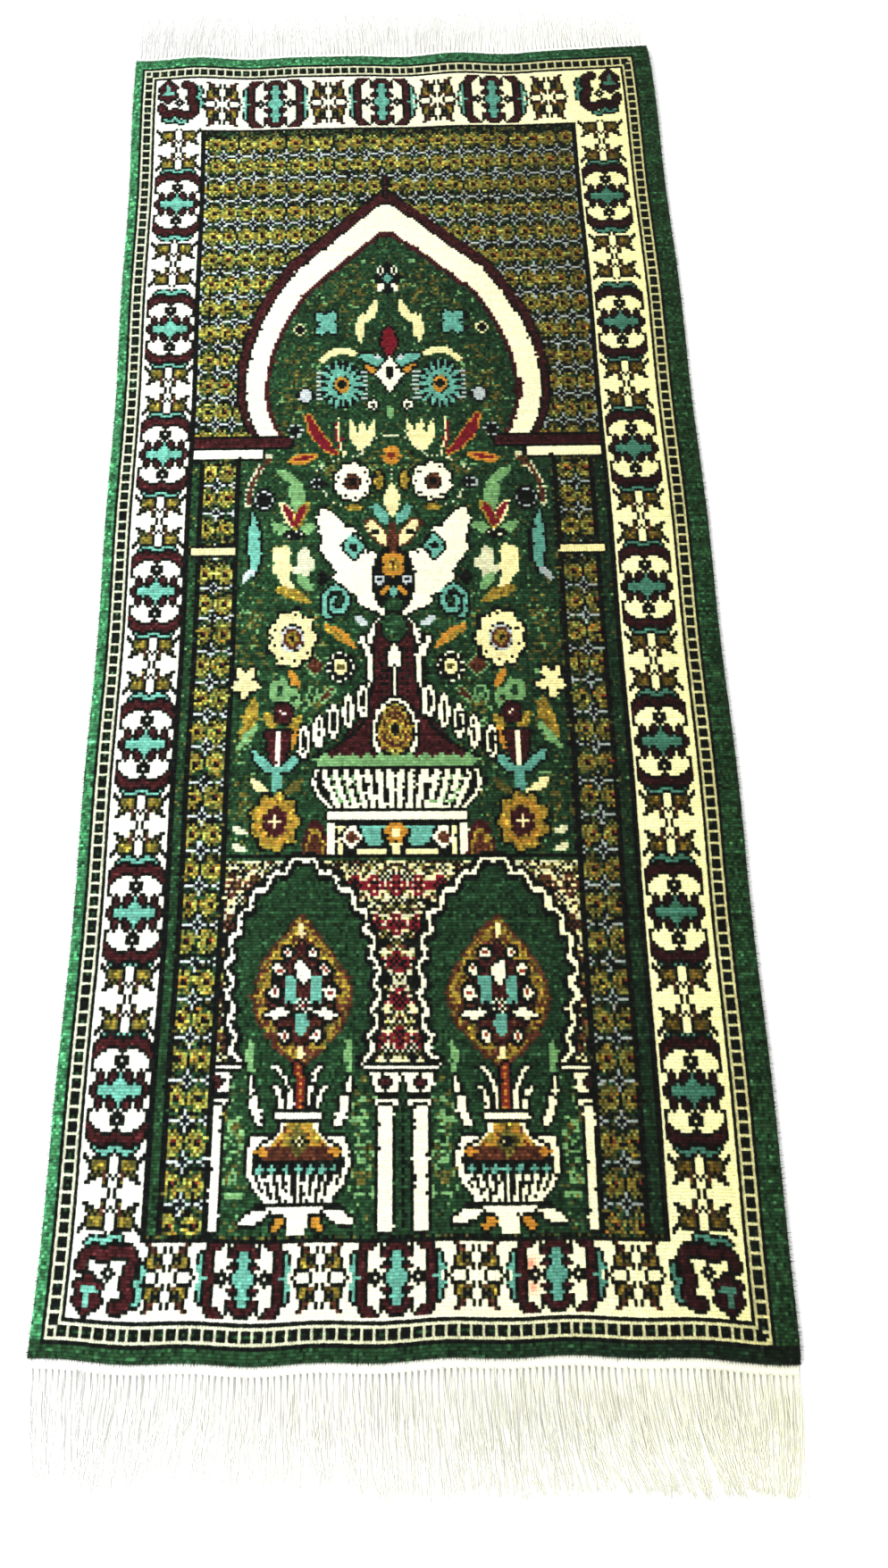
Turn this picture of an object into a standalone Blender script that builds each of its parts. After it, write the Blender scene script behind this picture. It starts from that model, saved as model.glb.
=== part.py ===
"""Knotted prayer rug, lying flat on the floor: a pile slab and a fringe at each end.

Metres. X runs across the rug, +Y points to the end with the niche, +Z is up.
The origin is the middle of the whole rug, fringes included, at floor level.
"""

import bpy
import numpy as np

# Driving sizes
PILE_WIDTH = 0.610
PILE_LENGTH = 1.410
PILE_THICKNESS = 0.0085
EDGE_ROUND = 0.006  # how far the pile's rounded shoulder reaches in from its edge
EDGE_HEIGHT = 0.45  # height of the widest line of that edge, as a share of the thickness
EDGE_UNDERCUT = 0.001  # how far the underside stops short of the widest line
EDGE_STEPS = (0.0, 0.0013, 0.0034, 0.0065)  # distances from the edge that carry the round
COLUMNS = 18  # plain cells across, between the two shoulders
ROWS = 42  # plain cells along
END_REACH = 0.260  # the waves of an end have died out this far in
SEAM = 0.00035  # between the pile and a fringe's band

BAND_WIDTH = 0.0078  # woven band that the fringe hangs from
BAND_THICKNESS = 0.0026
LOCKS = 118  # locks of yarn in each fringe
LOCK_WIDTH = 0.0026
LOCK_TIP_WIDTH = 0.0016
LOCK_HEIGHT = 0.0019  # at the root, where the band is as thick
LOCK_TIP_HEIGHT = 0.0009
LOCK_STEPS = (0.0, 0.14, 0.42, 0.72, 1.0)  # shares of a lock's length that carry its bend
LOCK_DOWN = 0.45  # a lock from a raised stretch of band lies on the floor from this share on
LENGTH_SPREAD = 0.004  # locks differ by up to this much in length
DRIFT_SPREAD = 0.0004
SEED = 11

# The rug isn't quite square
FRONT_SLANT = 0.019  # the front end's left corner lies this much further back than its right one
BACK_SLANT = 0.002
LEAN = 0.0045  # the back end sits this far left of the front end

# Its long edges bow to the right, and both ends wave and lift a little
LEFT_BOW = 0.0075
RIGHT_BOW = 0.0085
RIGHT_POWER = 0.35  # below 1 the bow is full and turns near the corners
FRONT_FLARE = 0.003  # each front corner spreads this far sideways
SIDE_RIPPLE = 0.0008
SIDE_RIPPLES = 5
FRONT_RISE = 0.001
FRONT_WAVE = 0.0045
BACK_HOLLOW = 0.003
END_RIPPLE = 0.001
END_RIPPLES = 6
FRONT_LIFT = 0.0016
FRONT_LIFTS = 5
BACK_LIFT = 0.003
BACK_LIFTS = 4
CORNER_CURL = 0.005  # the back right corner turns up this much
CURL_POWER = 12

# How the locks lie: share of the width from the left, tip's drift in x, and length
FRONT_LOCKS = (
    (0.00, 0.010, 0.076),
    (0.10, -0.006, 0.082),
    (0.20, -0.010, 0.078),
    (0.30, -0.004, 0.078),
    (0.40, 0.007, 0.082),
    (0.47, 0.002, 0.090),
    (0.56, 0.011, 0.090),
    (0.63, 0.007, 0.092),
    (0.72, 0.016, 0.090),
    (0.82, 0.019, 0.091),
    (0.91, 0.008, 0.088),
    (1.00, -0.009, 0.086),
)
BACK_LOCKS = (
    (0.00, 0.002, 0.066),
    (0.12, 0.008, 0.071),
    (0.27, -0.004, 0.068),
    (0.40, -0.008, 0.072),
    (0.55, 0.003, 0.067),
    (0.70, 0.009, 0.071),
    (0.85, -0.003, 0.069),
    (1.00, -0.006, 0.066),
)

# Finish of each sub-part: colour, roughness, metallic
PILE_FINISH = ((0.035, 0.115, 0.058), 0.95, 0.0)
FRINGE_FINISH = ((0.80, 0.78, 0.64), 0.90, 0.0)


def clear_scene():
    """Empty the scene that Blender opens with."""
    for item in list(bpy.data.objects):
        bpy.data.objects.remove(item, do_unlink=True)


def curve_through(table, column, share):
    """Smooth curve through one column of a table whose first column is the share.

    Between two rows it is the cubic whose slopes there are those of the chord
    from the row before to the row after (a Catmull-Rom curve).
    """
    knots = np.array([row[0] for row in table])
    values = np.array([row[column] for row in table])
    slopes = np.gradient(values, knots)
    share = np.clip(share, 0.0, 1.0)
    cell = np.clip(np.searchsorted(knots, share, side="right") - 1, 0, len(knots) - 2)
    step = knots[cell + 1] - knots[cell]
    t = (share - knots[cell]) / step
    rise = t * t * (3.0 - 2.0 * t)
    start_slope = t * (1.0 - t) ** 2
    end_slope = t * t * (t - 1.0)
    middle = values[cell] * (1.0 - rise) + values[cell + 1] * rise
    return middle + step * (slopes[cell] * start_slope + slopes[cell + 1] * end_slope)


def ends_weight(along):
    """How much the waves of the front and of the back end still count there."""
    front = np.maximum(0.0, 1.0 - along * PILE_LENGTH / END_REACH) ** 2
    back = np.maximum(0.0, 1.0 - (1.0 - along) * PILE_LENGTH / END_REACH) ** 2
    return front, back


def lie(across, along):
    """Where a point of the cloth lies, from its shares across and along: x, y and lift.

    A rectangle that leans, with slanting ends and a front that spreads. Each
    long edge adds a bow and a ripple, in proportion to the share across: the
    left bow is a sine and the right one a power of a sine. The ends add their
    waves and lifts, which are sines too. All that an end adds fades inwards
    with the square of what is left of END_REACH.
    """
    front, back = ends_weight(along)
    bow = np.clip(np.sin(np.pi * along), 0.0, 1.0)
    ripple = SIDE_RIPPLE * np.sin(2.0 * np.pi * SIDE_RIPPLES * along)
    x = (across - 0.5) * (PILE_WIDTH + 2.0 * FRONT_FLARE * front) + (0.5 - along) * LEAN
    x += (1.0 - across) * (LEFT_BOW * bow + ripple)
    x += across * (RIGHT_BOW * bow**RIGHT_POWER - ripple)

    arch = np.sin(np.pi * across)
    ripple = END_RIPPLE * np.sin(2.0 * np.pi * END_RIPPLES * across)
    y = (along - 0.5) * PILE_LENGTH
    y += (0.5 - across) * (FRONT_SLANT * (1.0 - along) + BACK_SLANT * along)
    y += front * (FRONT_RISE * arch - FRONT_WAVE * np.sin(2.0 * np.pi * across) + ripple)
    y -= back * (BACK_HOLLOW * arch + ripple)

    lift = front * FRONT_LIFT * np.sin(np.pi * FRONT_LIFTS * across) ** 2
    lift += back * BACK_LIFT * np.sin(np.pi * BACK_LIFTS * across) ** 2
    lift += back * CORNER_CURL * across**CURL_POWER
    return x, y, lift


def shares(length, cells):
    """Shares of a length that carry the rounded shoulders and the plain cells between them."""
    near = np.array(EDGE_STEPS) / length
    plain = np.linspace(near[-1], 1.0 - near[-1], cells + 1)[1:-1]
    return np.concatenate([near, plain, 1.0 - near[::-1]])


def make_object(name, points, faces, finish):
    """Put a closed mesh into the scene as one named object with its own material."""
    mesh = bpy.data.meshes.new(name)
    mesh.from_pydata([tuple(map(float, p)) for p in points], [], faces)
    mesh.validate()
    item = bpy.data.objects.new(name, mesh)
    bpy.context.collection.objects.link(item)
    colour, roughness, metallic = finish
    material = bpy.data.materials.new(name + "_wool")
    material.use_nodes = True
    shader = material.node_tree.nodes["Principled BSDF"]
    shader.inputs["Base Color"].default_value = (*colour, 1.0)
    shader.inputs["Roughness"].default_value = roughness
    shader.inputs["Metallic"].default_value = metallic
    material.diffuse_color = (*colour, 1.0)
    mesh.materials.append(material)
    return item


def pile_slab():
    """The pile's points and faces: a top grid, a flat-lying underside grid and the wall between.

    The top's height above the underside rises from the edge as a quarter of an
    ellipse, EDGE_ROUND wide.
    """
    across, along = np.meshgrid(shares(PILE_WIDTH, COLUMNS), shares(PILE_LENGTH, ROWS))
    x, y, lift = lie(across, along)
    side = np.minimum(across, 1.0 - across) * PILE_WIDTH
    end = np.minimum(along, 1.0 - along) * PILE_LENGTH
    reach = np.clip(np.minimum(side, end) / EDGE_ROUND, 0.0, 1.0)
    round_rise = np.sqrt(1.0 - (1.0 - reach) ** 2)
    height = PILE_THICKNESS * (EDGE_HEIGHT + (1.0 - EDGE_HEIGHT) * round_rise)
    top = np.stack([x, y, lift + height], axis=-1)

    tuck_across = np.clip(across, EDGE_UNDERCUT / PILE_WIDTH, 1.0 - EDGE_UNDERCUT / PILE_WIDTH)
    tuck_along = np.clip(along, EDGE_UNDERCUT / PILE_LENGTH, 1.0 - EDGE_UNDERCUT / PILE_LENGTH)
    x, y, lift = lie(tuck_across, tuck_along)
    under = np.stack([x, y, lift], axis=-1)

    rows, columns = across.shape
    number = np.arange(rows * columns).reshape(rows, columns)
    below = number + rows * columns
    faces = []
    for row in range(rows - 1):
        for column in range(columns - 1):
            corner = (row, column), (row, column + 1), (row + 1, column + 1), (row + 1, column)
            faces.append([int(number[c]) for c in corner])
            faces.append([int(below[c]) for c in reversed(corner)])
    rim = [(0, c) for c in range(columns)]
    rim += [(r, columns - 1) for r in range(1, rows)]
    rim += [(rows - 1, c) for c in range(columns - 2, -1, -1)]
    rim += [(r, 0) for r in range(rows - 2, 0, -1)]
    for here, after in zip(rim, rim[1:] + rim[:1]):
        faces.append([int(below[here]), int(below[after]), int(number[after]), int(number[here])])
    return np.concatenate([top.reshape(-1, 3), under.reshape(-1, 3)]), faces


def pile_end(end, share):
    """The slab's own edge line at one end, straight between the slab's columns: x, y and lift."""
    columns = shares(PILE_WIDTH, COLUMNS)
    x, y, lift = lie(columns, np.full_like(columns, 0.0 if end < 0 else 1.0))
    return np.interp(share, columns, x), np.interp(share, columns, y), np.interp(share, columns, lift)


def fringe(end, table):
    """One fringe's points and faces: a band along the pile's end and its locks of yarn.

    end is -1 at the front and +1 at the back. Each lock has two points on the
    band's inner side and then three points for each step along it, so the band
    and all its locks are one skin.
    """
    spread = np.random.default_rng(SEED + end)
    half = 0.5 * LOCK_WIDTH / PILE_WIDTH
    points = []
    firsts = []
    for share in (np.arange(LOCKS) + 0.5) / LOCKS:
        x, y, lift = pile_end(end, share)
        feet_y = [pile_end(end, share + side * half)[1] for side in (-1.0, 1.0)]
        seam = y + end * SEAM
        drift = curve_through(table, 1, share) + DRIFT_SPREAD * spread.uniform(-1.0, 1.0)
        length = curve_through(table, 2, share) + LENGTH_SPREAD * spread.uniform(-1.0, 1.0)
        firsts.append(len(points))
        points += [(x, seam, lift), (x, seam, lift + BAND_THICKNESS)]
        for step in LOCK_STEPS:
            points += lock_section(end, step, (x, y, lift), feet_y, drift, length)
    faces = band_faces(firsts) + lock_faces(firsts)
    if end > 0:
        faces = [face[::-1] for face in faces]
    return points, faces


def lock_section(end, step, root, feet_y, drift, length):
    """Left foot, right foot and crown of a lock at one share of its length.

    The section is a triangle with its flat side down. Its sideways drift grows
    with the square of the way along the lock, so the lock leaves the band
    straight and then leans, and from a raised band it comes down to the floor.
    """
    x, y, lift = root
    x += drift * step * step
    out = end * (SEAM + BAND_WIDTH + length * step)
    floor = lift * max(0.0, 1.0 - step / LOCK_DOWN) ** 2
    half_width = 0.5 * (LOCK_WIDTH + (LOCK_TIP_WIDTH - LOCK_WIDTH) * step)
    tall = LOCK_HEIGHT + (LOCK_TIP_HEIGHT - LOCK_HEIGHT) * step
    left_y, right_y = feet_y if step == 0.0 else (y, y)
    return [
        (x - half_width, left_y + out, floor),
        (x + half_width, right_y + out, floor),
        (x, y + out, floor + tall),
    ]


def band_faces(firsts):
    """The band between neighbouring locks and its two ends, for a fringe that points to -Y.

    From each lock's first point on, its own points are: inner bottom, inner top,
    then left foot, right foot and crown of each step.
    """
    faces = []
    for here, after in zip(firsts, firsts[1:]):
        faces.append([here, here + 1, after + 1, after])
        faces.append([here + 1, here + 4, after + 4, after + 1])
        faces.append([here + 4, here + 3, after + 2, after + 4])
        faces.append([here, after, after + 2, here + 3])
    for here in firsts:
        faces.append([here, here + 3, here + 2])
    first, last = firsts[0], firsts[-1]
    faces.append([first, first + 2, first + 4, first + 1])
    faces.append([last, last + 1, last + 4, last + 3])
    return faces


def lock_faces(firsts):
    """The three sides and the tip of each lock, for a fringe that points to -Y."""
    faces = []
    for first in firsts:
        for step in range(len(LOCK_STEPS) - 1):
            near = first + 2 + 3 * step
            far = near + 3
            for side in range(3):
                other = (side + 1) % 3
                faces.append([near + side, near + other, far + other, far + side])
        tip = first + 2 + 3 * (len(LOCK_STEPS) - 1)
        faces.append([tip, tip + 1, tip + 2])
    return faces


def main():
    clear_scene()
    parts = {
        "rug_pile": (*pile_slab(), PILE_FINISH),
        "fringe_front": (*fringe(-1, FRONT_LOCKS), FRINGE_FINISH),
        "fringe_back": (*fringe(1, BACK_LOCKS), FRINGE_FINISH),
    }
    every = np.concatenate([np.array(points) for points, _, _ in parts.values()])
    centre = 0.5 * (every.min(axis=0) + every.max(axis=0))
    centre[2] = every[:, 2].min()
    for name, (points, faces, finish) in parts.items():
        make_object(name, np.array(points) - centre, faces, finish)


main()
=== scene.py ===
"""Looks of a knotted prayer rug: every knot of its pile, its woven bands and its fringe.

Metres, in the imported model's frame: X across the rug, +Y towards the end with the
niche, +Z up out of the pile. The design is worked out on a weaver's chart of knots,
row 0 at the back, and the chart is then laid on the cloth.
"""

import bpy
import numpy as np
from mathutils import Matrix, Vector


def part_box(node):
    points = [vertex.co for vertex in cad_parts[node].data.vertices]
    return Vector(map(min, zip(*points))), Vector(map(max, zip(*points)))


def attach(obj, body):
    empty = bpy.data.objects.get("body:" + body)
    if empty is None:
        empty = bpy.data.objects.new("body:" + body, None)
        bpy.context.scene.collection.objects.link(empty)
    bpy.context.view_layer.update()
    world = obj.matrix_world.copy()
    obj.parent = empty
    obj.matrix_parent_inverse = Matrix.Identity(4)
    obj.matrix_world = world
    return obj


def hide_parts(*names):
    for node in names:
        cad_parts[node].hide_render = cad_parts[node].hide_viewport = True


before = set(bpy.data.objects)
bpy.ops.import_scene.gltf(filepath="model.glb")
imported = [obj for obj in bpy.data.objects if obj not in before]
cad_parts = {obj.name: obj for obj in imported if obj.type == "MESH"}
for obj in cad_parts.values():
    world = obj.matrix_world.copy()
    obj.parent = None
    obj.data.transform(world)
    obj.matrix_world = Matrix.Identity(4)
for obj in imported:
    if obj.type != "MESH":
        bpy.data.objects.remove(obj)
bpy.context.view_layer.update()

# ---- sizes of the cloth, the same as the solids' ----
PILE_WIDTH = 0.610
PILE_LENGTH = 1.410
PILE_THICKNESS = 0.0085
EDGE_ROUND = 0.006
EDGE_HEIGHT = 0.45
EDGE_UNDERCUT = 0.001
END_REACH = 0.260
SEAM = 0.00035
BAND_WIDTH = 0.0078
BAND_THICKNESS = 0.0026
LOCKS = 118
LOCK_DOWN = 0.45

# The rug isn't quite square
FRONT_SLANT = 0.019  # the front end's left corner lies this much further back than its right one
BACK_SLANT = 0.002
LEAN = 0.0045  # the back end sits this far left of the front end

# Its long edges bow to the right, and both ends wave and lift a little
LEFT_BOW = 0.0075
RIGHT_BOW = 0.0085
RIGHT_POWER = 0.35
FRONT_FLARE = 0.003  # each front corner spreads this far sideways
SIDE_RIPPLE = 0.0008
SIDE_RIPPLES = 5
FRONT_RISE = 0.001
FRONT_WAVE = 0.0045
BACK_HOLLOW = 0.003
END_RIPPLE = 0.001
END_RIPPLES = 6
FRONT_LIFT = 0.0016
FRONT_LIFTS = 5
BACK_LIFT = 0.003
BACK_LIFTS = 4
CORNER_CURL = 0.005
CURL_POWER = 12

# How the locks lie: share of the width from the left, tip's drift in x, and length
FRONT_LOCKS = (
    (0.00, 0.010, 0.076),
    (0.10, -0.006, 0.082),
    (0.20, -0.010, 0.078),
    (0.30, -0.004, 0.078),
    (0.40, 0.007, 0.082),
    (0.47, 0.002, 0.090),
    (0.56, 0.011, 0.090),
    (0.63, 0.007, 0.092),
    (0.72, 0.016, 0.090),
    (0.82, 0.019, 0.091),
    (0.91, 0.008, 0.088),
    (1.00, -0.009, 0.086),
)
BACK_LOCKS = (
    (0.00, 0.002, 0.066),
    (0.12, 0.008, 0.071),
    (0.27, -0.004, 0.068),
    (0.40, -0.008, 0.072),
    (0.55, 0.003, 0.067),
    (0.70, 0.009, 0.071),
    (0.85, -0.003, 0.069),
    (1.00, -0.006, 0.066),
)

# ---- yarns: name, sRGB at the rug's left edge and at its right edge, and liveliness ----
# The colours run from light on the left to deep on the right, partly as the dyes differ and
# partly as painted light: lit brightly on the left and in shade on the right. Liveliness is
# how far neighbouring knots of one yarn differ.
YARN_TONES = (
    ("green", (36, 71, 42), (11, 20, 11), 0.38),
    ("ivory", (249, 249, 238), (243, 236, 158), 0.05),
    ("black", (11, 16, 13), (9, 11, 6), 0.45),
    ("maroon", (68, 27, 29), (26, 9, 7), 0.28),
    ("turquoise", (118, 199, 178), (42, 87, 62), 0.18),
    ("gold", (176, 152, 56), (96, 65, 18), 0.26),
    ("olive", (106, 102, 46), (54, 42, 16), 0.28),
    ("orange", (206, 148, 52), (158, 90, 24), 0.16),
    ("cream", (242, 234, 176), (238, 224, 146), 0.10),
    ("mint", (132, 186, 122), (84, 122, 64), 0.18),
    ("brown", (84, 46, 32), (66, 34, 16), 0.26),
    ("ice", (216, 228, 230), (104, 112, 98), 0.12),
    ("rust", (120, 40, 34), (114, 38, 20), 0.20),
    ("crimson", (122, 24, 38), (96, 18, 20), 0.20),
    ("pale", (226, 230, 200), (200, 194, 130), 0.12),
    ("rim", (66, 138, 90), (26, 50, 26), 0.45),
    ("straw", (184, 190, 88), (66, 50, 22), 0.34),
    ("navy", (16, 24, 38), (14, 18, 20), 0.30),
)
YARNS = [name for name, _, _, _ in YARN_TONES]
(GREEN, IVORY, BLACK, MAROON, TURQUOISE, GOLD, OLIVE, ORANGE, CREAM, MINT, BROWN, ICE, RUST,
 CRIMSON, PALE, RIM, STRAW, NAVY) = range(len(YARNS))

# ---- the weaver's chart, and the general forms that are knotted on it ----
KNOTS = 246
ROWS = 510
DRAWN = 250  # columns of the drawing, of which the cloth keeps KNOTS
TRIM = 2  # drawn columns left of the cloth
AXIS = 119.5  # column of the field's middle
chance = np.random.default_rng(1410)
chart = np.full((ROWS, DRAWN), GREEN, np.int8)


def rounded(points, closed=True, cuts=2):
    """The outline with its corners cut at a quarter and three quarters of each side, cuts times."""
    points = np.asarray(points, float)
    for _ in range(cuts):
        after = np.roll(points, -1, axis=0) if closed else points[1:]
        before = points if closed else points[:-1]
        cut = np.stack([0.75 * before + 0.25 * after, 0.25 * before + 0.75 * after], axis=1)
        cut = cut.reshape(-1, 2)
        points = cut if closed else np.concatenate([points[:1], cut, points[-1:]])
    return points


def cells(points, margin):
    """The block of knots round some points, and the middles of its knots."""
    low = np.floor(points.min(axis=0) - margin).astype(int)
    high = np.ceil(points.max(axis=0) + margin).astype(int)
    c0, c1 = np.clip([low[0], high[0]], 0, DRAWN)
    r0, r1 = np.clip([low[1], high[1]], 0, ROWS)
    return (slice(r0, r1), slice(c0, c1)), *np.meshgrid(np.arange(c0, c1) + 0.5, np.arange(r0, r1) + 0.5)


def inside(points, x, y):
    """Which middles lie inside an outline: a ray to the right crosses it an odd number of times."""
    odd = np.zeros(x.shape, bool)
    for (xa, ya), (xb, yb) in zip(points, np.roll(points, -1, axis=0)):
        if ya == yb:
            continue
        crosses = (ya > y) != (yb > y)
        odd ^= crosses & (x < xa + (y - ya) * (xb - xa) / (yb - ya))
    return odd


def grown(mask):
    """A mask and the knots that touch it by a side."""
    wide = np.pad(mask, 1)
    return mask | wide[2:, 1:-1] | wide[:-2, 1:-1] | wide[1:-1, 2:] | wide[1:-1, :-2]


def knot(block, mask, yarn, share=1.0):
    """Tie these knots of a block in one yarn, or a share of them picked by chance."""
    if share < 1.0:
        mask = mask & (chance.random(mask.shape) < share)
    chart[block][mask] = yarn


def fill(points, yarn, edge=None, share=1.0):
    """Knot an outline full, after an edge one knot wide round it."""
    points = np.asarray(points, float)
    block, x, y = cells(points, 2)
    mask = inside(points, x, y)
    if edge is not None:
        knot(block, grown(mask), edge)
    knot(block, mask, yarn, share)


def line(points, width, yarn, edge=None, dash=0):
    """Knot a line of some width along points, dashed if dash is its repeat in knots."""
    points = np.asarray(points, float)
    block, x, y = cells(points, width)
    near = np.full(x.shape, np.inf)
    along = np.zeros(x.shape)
    gone = 0.0
    for a, b in zip(points[:-1], points[1:]):
        step = b - a
        length = max(float(np.hypot(*step)), 1e-6)
        t = np.clip(((x - a[0]) * step[0] + (y - a[1]) * step[1]) / length**2, 0, 1)
        off = np.hypot(x - a[0] - t * step[0], y - a[1] - t * step[1])
        along = np.where(off < near, gone + t * length, along)
        near = np.minimum(near, off)
        gone += length
    mask = near < 0.5 * width
    if dash:
        mask &= (along % dash) < 0.55 * dash
    if edge is not None:
        knot(block, grown(mask), edge)
    knot(block, mask, yarn)


def arc(x0, y0, x1, y1, bend=0.0, steps=12):
    """Points along a bow from one end to the other, its middle moved sideways by bend."""
    t = np.linspace(0, 1, steps)
    across = np.array([y0 - y1, x1 - x0], float) / max(np.hypot(x1 - x0, y1 - y0), 1e-6)
    straight = np.stack([x0 + (x1 - x0) * t, y0 + (y1 - y0) * t], axis=1)
    return straight + (4 * bend * t * (1 - t))[:, None] * across


def stem(x0, y0, x1, y1, bend, width, yarn, edge=None, dash=0):
    """A line of some width along a bow."""
    line(arc(x0, y0, x1, y1, bend), width, yarn, edge, dash)


def box(x0, x1, y0, y1, yarn, edge=None):
    """A plain upright rectangle."""
    fill([(x0, y0), (x1, y0), (x1, y1), (x0, y1)], yarn, edge)


def taper(axis, half_top, half_foot, y0, y1, yarn, edge=None):
    """A form that widens or narrows evenly down an upright axis."""
    left = [(axis - half_foot, y1), (axis - half_top, y0)]
    right = [(axis + half_top, y0), (axis + half_foot, y1)]
    fill(left + right, yarn, edge)


def oval(x, y, rx, ry):
    """The outline of an ellipse."""
    turn = np.linspace(0, 2 * np.pi, 24, endpoint=False)
    return np.stack([x + rx * np.cos(turn), y + ry * np.sin(turn)], axis=1)


def lozenge(x, y, rx, ry):
    """The outline of a diamond."""
    return [(x, y - ry), (x + rx, y), (x, y + ry), (x - rx, y)]


def rosette(x, y, rx, ry, lobes, depth=0.22, turn=0.0):
    """The outline of a flower: an ellipse with round lobes.

    Between lobes its radius is less by a share, depth, and it swells in each
    as the size of a cosine.
    """
    angle = np.linspace(0, 2 * np.pi, 12 * lobes, endpoint=False)
    swell = 1.0 - depth * (1.0 - np.abs(np.cos(0.5 * lobes * (angle - turn))))
    return np.stack([x + rx * swell * np.cos(angle), y + ry * swell * np.sin(angle)], axis=1)


def flower(x, y, rx, ry, lobes, *bands):
    """A flower of rings, outermost first: each is a share of its size and a yarn.

    A ring of up to half its size is a plain oval.
    """
    for share, yarn in bands:
        fill(rosette(x, y, share * rx, share * ry, lobes, 0.18 if share > 0.5 else 0.0), yarn)


def beads(x, y, rx, ry, count, yarn, size=0.7):
    """A ring of dots."""
    for angle in np.arange(count) * 2 * np.pi / count:
        fill(oval(x + rx * np.cos(angle), y + ry * np.sin(angle), size, size), yarn)


SCROLL_START = 2.2  # angle at which a scroll's outer end lies


def scroll(x, y, size, turns, width, yarn, edge=None):
    """A spiral that winds evenly in to three tenths of its size, and is 1.3 times as tall as wide."""
    angle = SCROLL_START + np.linspace(0, 2 * np.pi * turns, 28)
    reach = size * np.linspace(1.0, 0.3, 28)
    line(np.stack([x + reach * np.cos(angle), y + 1.3 * reach * np.sin(angle)], axis=1), width, yarn, edge)


def leaf(x0, y0, x1, y1, width, bend=0.0, yarn=GREEN, edge=None, teeth=0):
    """A leaf from tip to tip, bent sideways and widest in its middle.

    Its half width is a power of a sine. With teeth, it falls by a third along
    each tooth and springs back at the next.
    """
    t = np.linspace(0, 1, 12 + 8 * teeth)
    spine = arc(x0, y0, x1, y1, bend, len(t))
    way = np.gradient(spine, axis=0)
    across = np.stack([-way[:, 1], way[:, 0]], axis=1) / np.hypot(*way.T)[:, None]
    half = 0.5 * width * np.sin(np.pi * t) ** 0.7 * (1.0 - 0.33 * ((t * teeth) % 1.0))
    fill(np.concatenate([spine + half[:, None] * across, (spine - half[:, None] * across)[::-1]]), yarn, edge)


def turned(axis, profile, yarn, edge=None):
    """A form alike on both sides of an upright axis, from a few rows and half widths down it."""
    side = rounded([(half, row) for row, half in profile], closed=False)
    fill(np.concatenate([side + (axis, 0), (side * (-1, 1) + (axis, 0))[::-1]]), yarn, edge)


HOLLOW_REACH = 0.42  # share of the way from tip to widest row over which the hollow fades


def pointed_arch(tip, widest, foot, half, foot_half, power, hollow=0.0):
    """Rows of a pointed arch and its half width there.

    From the tip to its widest row it opens as a power of a quarter sine, less a
    hollow near the tip that fades with the square of the way. From the widest
    row it draws in with the square of the way to its foot.
    """
    rows = np.linspace(tip, foot, 60)
    opened = np.clip((rows - tip) / (widest - tip), 0, 1)
    drawn_in = np.clip((rows - widest) / max(foot - widest, 1), 0, 1)
    near_tip = np.maximum(0, 1 - (opened / HOLLOW_REACH) ** 2)
    reach = np.sin(0.5 * np.pi * opened) ** power - hollow * near_tip
    return rows, half * np.maximum(reach, 0) - (half - foot_half) * drawn_in**2


def toothed(points, teeth, depth):
    """A smooth curve with teeth to its left.

    Each swells as a sine of a power of the way along it, so it falls faster
    than it rises.
    """
    points = rounded(points, closed=False)
    gone = np.concatenate([[0], np.cumsum(np.hypot(*np.diff(points, axis=0).T))])
    t = np.linspace(0, 1, 8 * teeth + 1)
    x = np.interp(t * gone[-1], gone, points[:, 0])
    y = np.interp(t * gone[-1], gone, points[:, 1])
    way = np.stack([np.gradient(x), np.gradient(y)], axis=1)
    way /= np.maximum(np.hypot(*way.T), 1e-6)[:, None]
    swell = depth * np.sin(np.pi * ((t * teeth) % 1.0) ** 1.6)
    return np.stack([x + swell * way[:, 1], y - swell * way[:, 0]], axis=1)


# ---- what is listed knot by knot ----
LETTERS = {
    "k": BLACK, "w": IVORY, "i": ICE, "g": GOLD, "o": OLIVE, "c": CREAM, "b": BROWN,
    "r": RUST, "x": CRIMSON, "d": MAROON, "t": TURQUOISE, "s": STRAW, "v": NAVY,
}


def stamp(drawing, x, y):
    """Knot a small drawing, given knot by knot, centred on x and y. A dot leaves what is there."""
    rows = drawing.split()
    top = int(round(y - 0.5 * len(rows)))
    left = int(round(x - 0.5 * len(rows[0])))
    for down, row in enumerate(rows):
        for right, letter in enumerate(row):
            r, c = top + down, left + right
            if letter != "." and 0 <= r < ROWS and 0 <= c < DRAWN:
                chart[r, c] = LETTERS[letter]


FLORET = """
..s.s..
.sosos.
sogsgos
ssskrss
sogkkgs
sossgos
.sosos.
..s.s..
"""
STAR = """
...i...
...i...
..iki..
iikvkii
..iki..
...i...
...i...
"""


def repeat_ground(c0, c1, r0, r1, floret_c, floret_r):
    """Rows of florets and four-point stars on a dark ground, over a block of knots."""
    around = chart.copy()
    block = (slice(r0, r1), slice(c0, c1))
    chart[block] = BLACK
    knot(block, chart[block] == BLACK, GREEN, 0.30)
    knot(block, chart[block] == BLACK, OLIVE, 0.30)
    for r in floret_r:
        for c in floret_c:
            stamp(FLORET, c, r)
    for r in 0.5 * (np.array(floret_r[1:]) + floret_r[:-1]):
        for c in 0.5 * (np.array(floret_c[1:]) + floret_c[:-1]):
            stamp(STAR, c, r)
    for fleck, share in ((GOLD, 0.10), (ORANGE, 0.04), (GREEN, 0.10), (OLIVE, 0.12), (BLACK, 0.08)):
        knot(block, chart[block] == STRAW, fleck, share)
    keep = np.ones(chart.shape, bool)
    keep[block] = False
    chart[keep] = around[keep]
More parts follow.
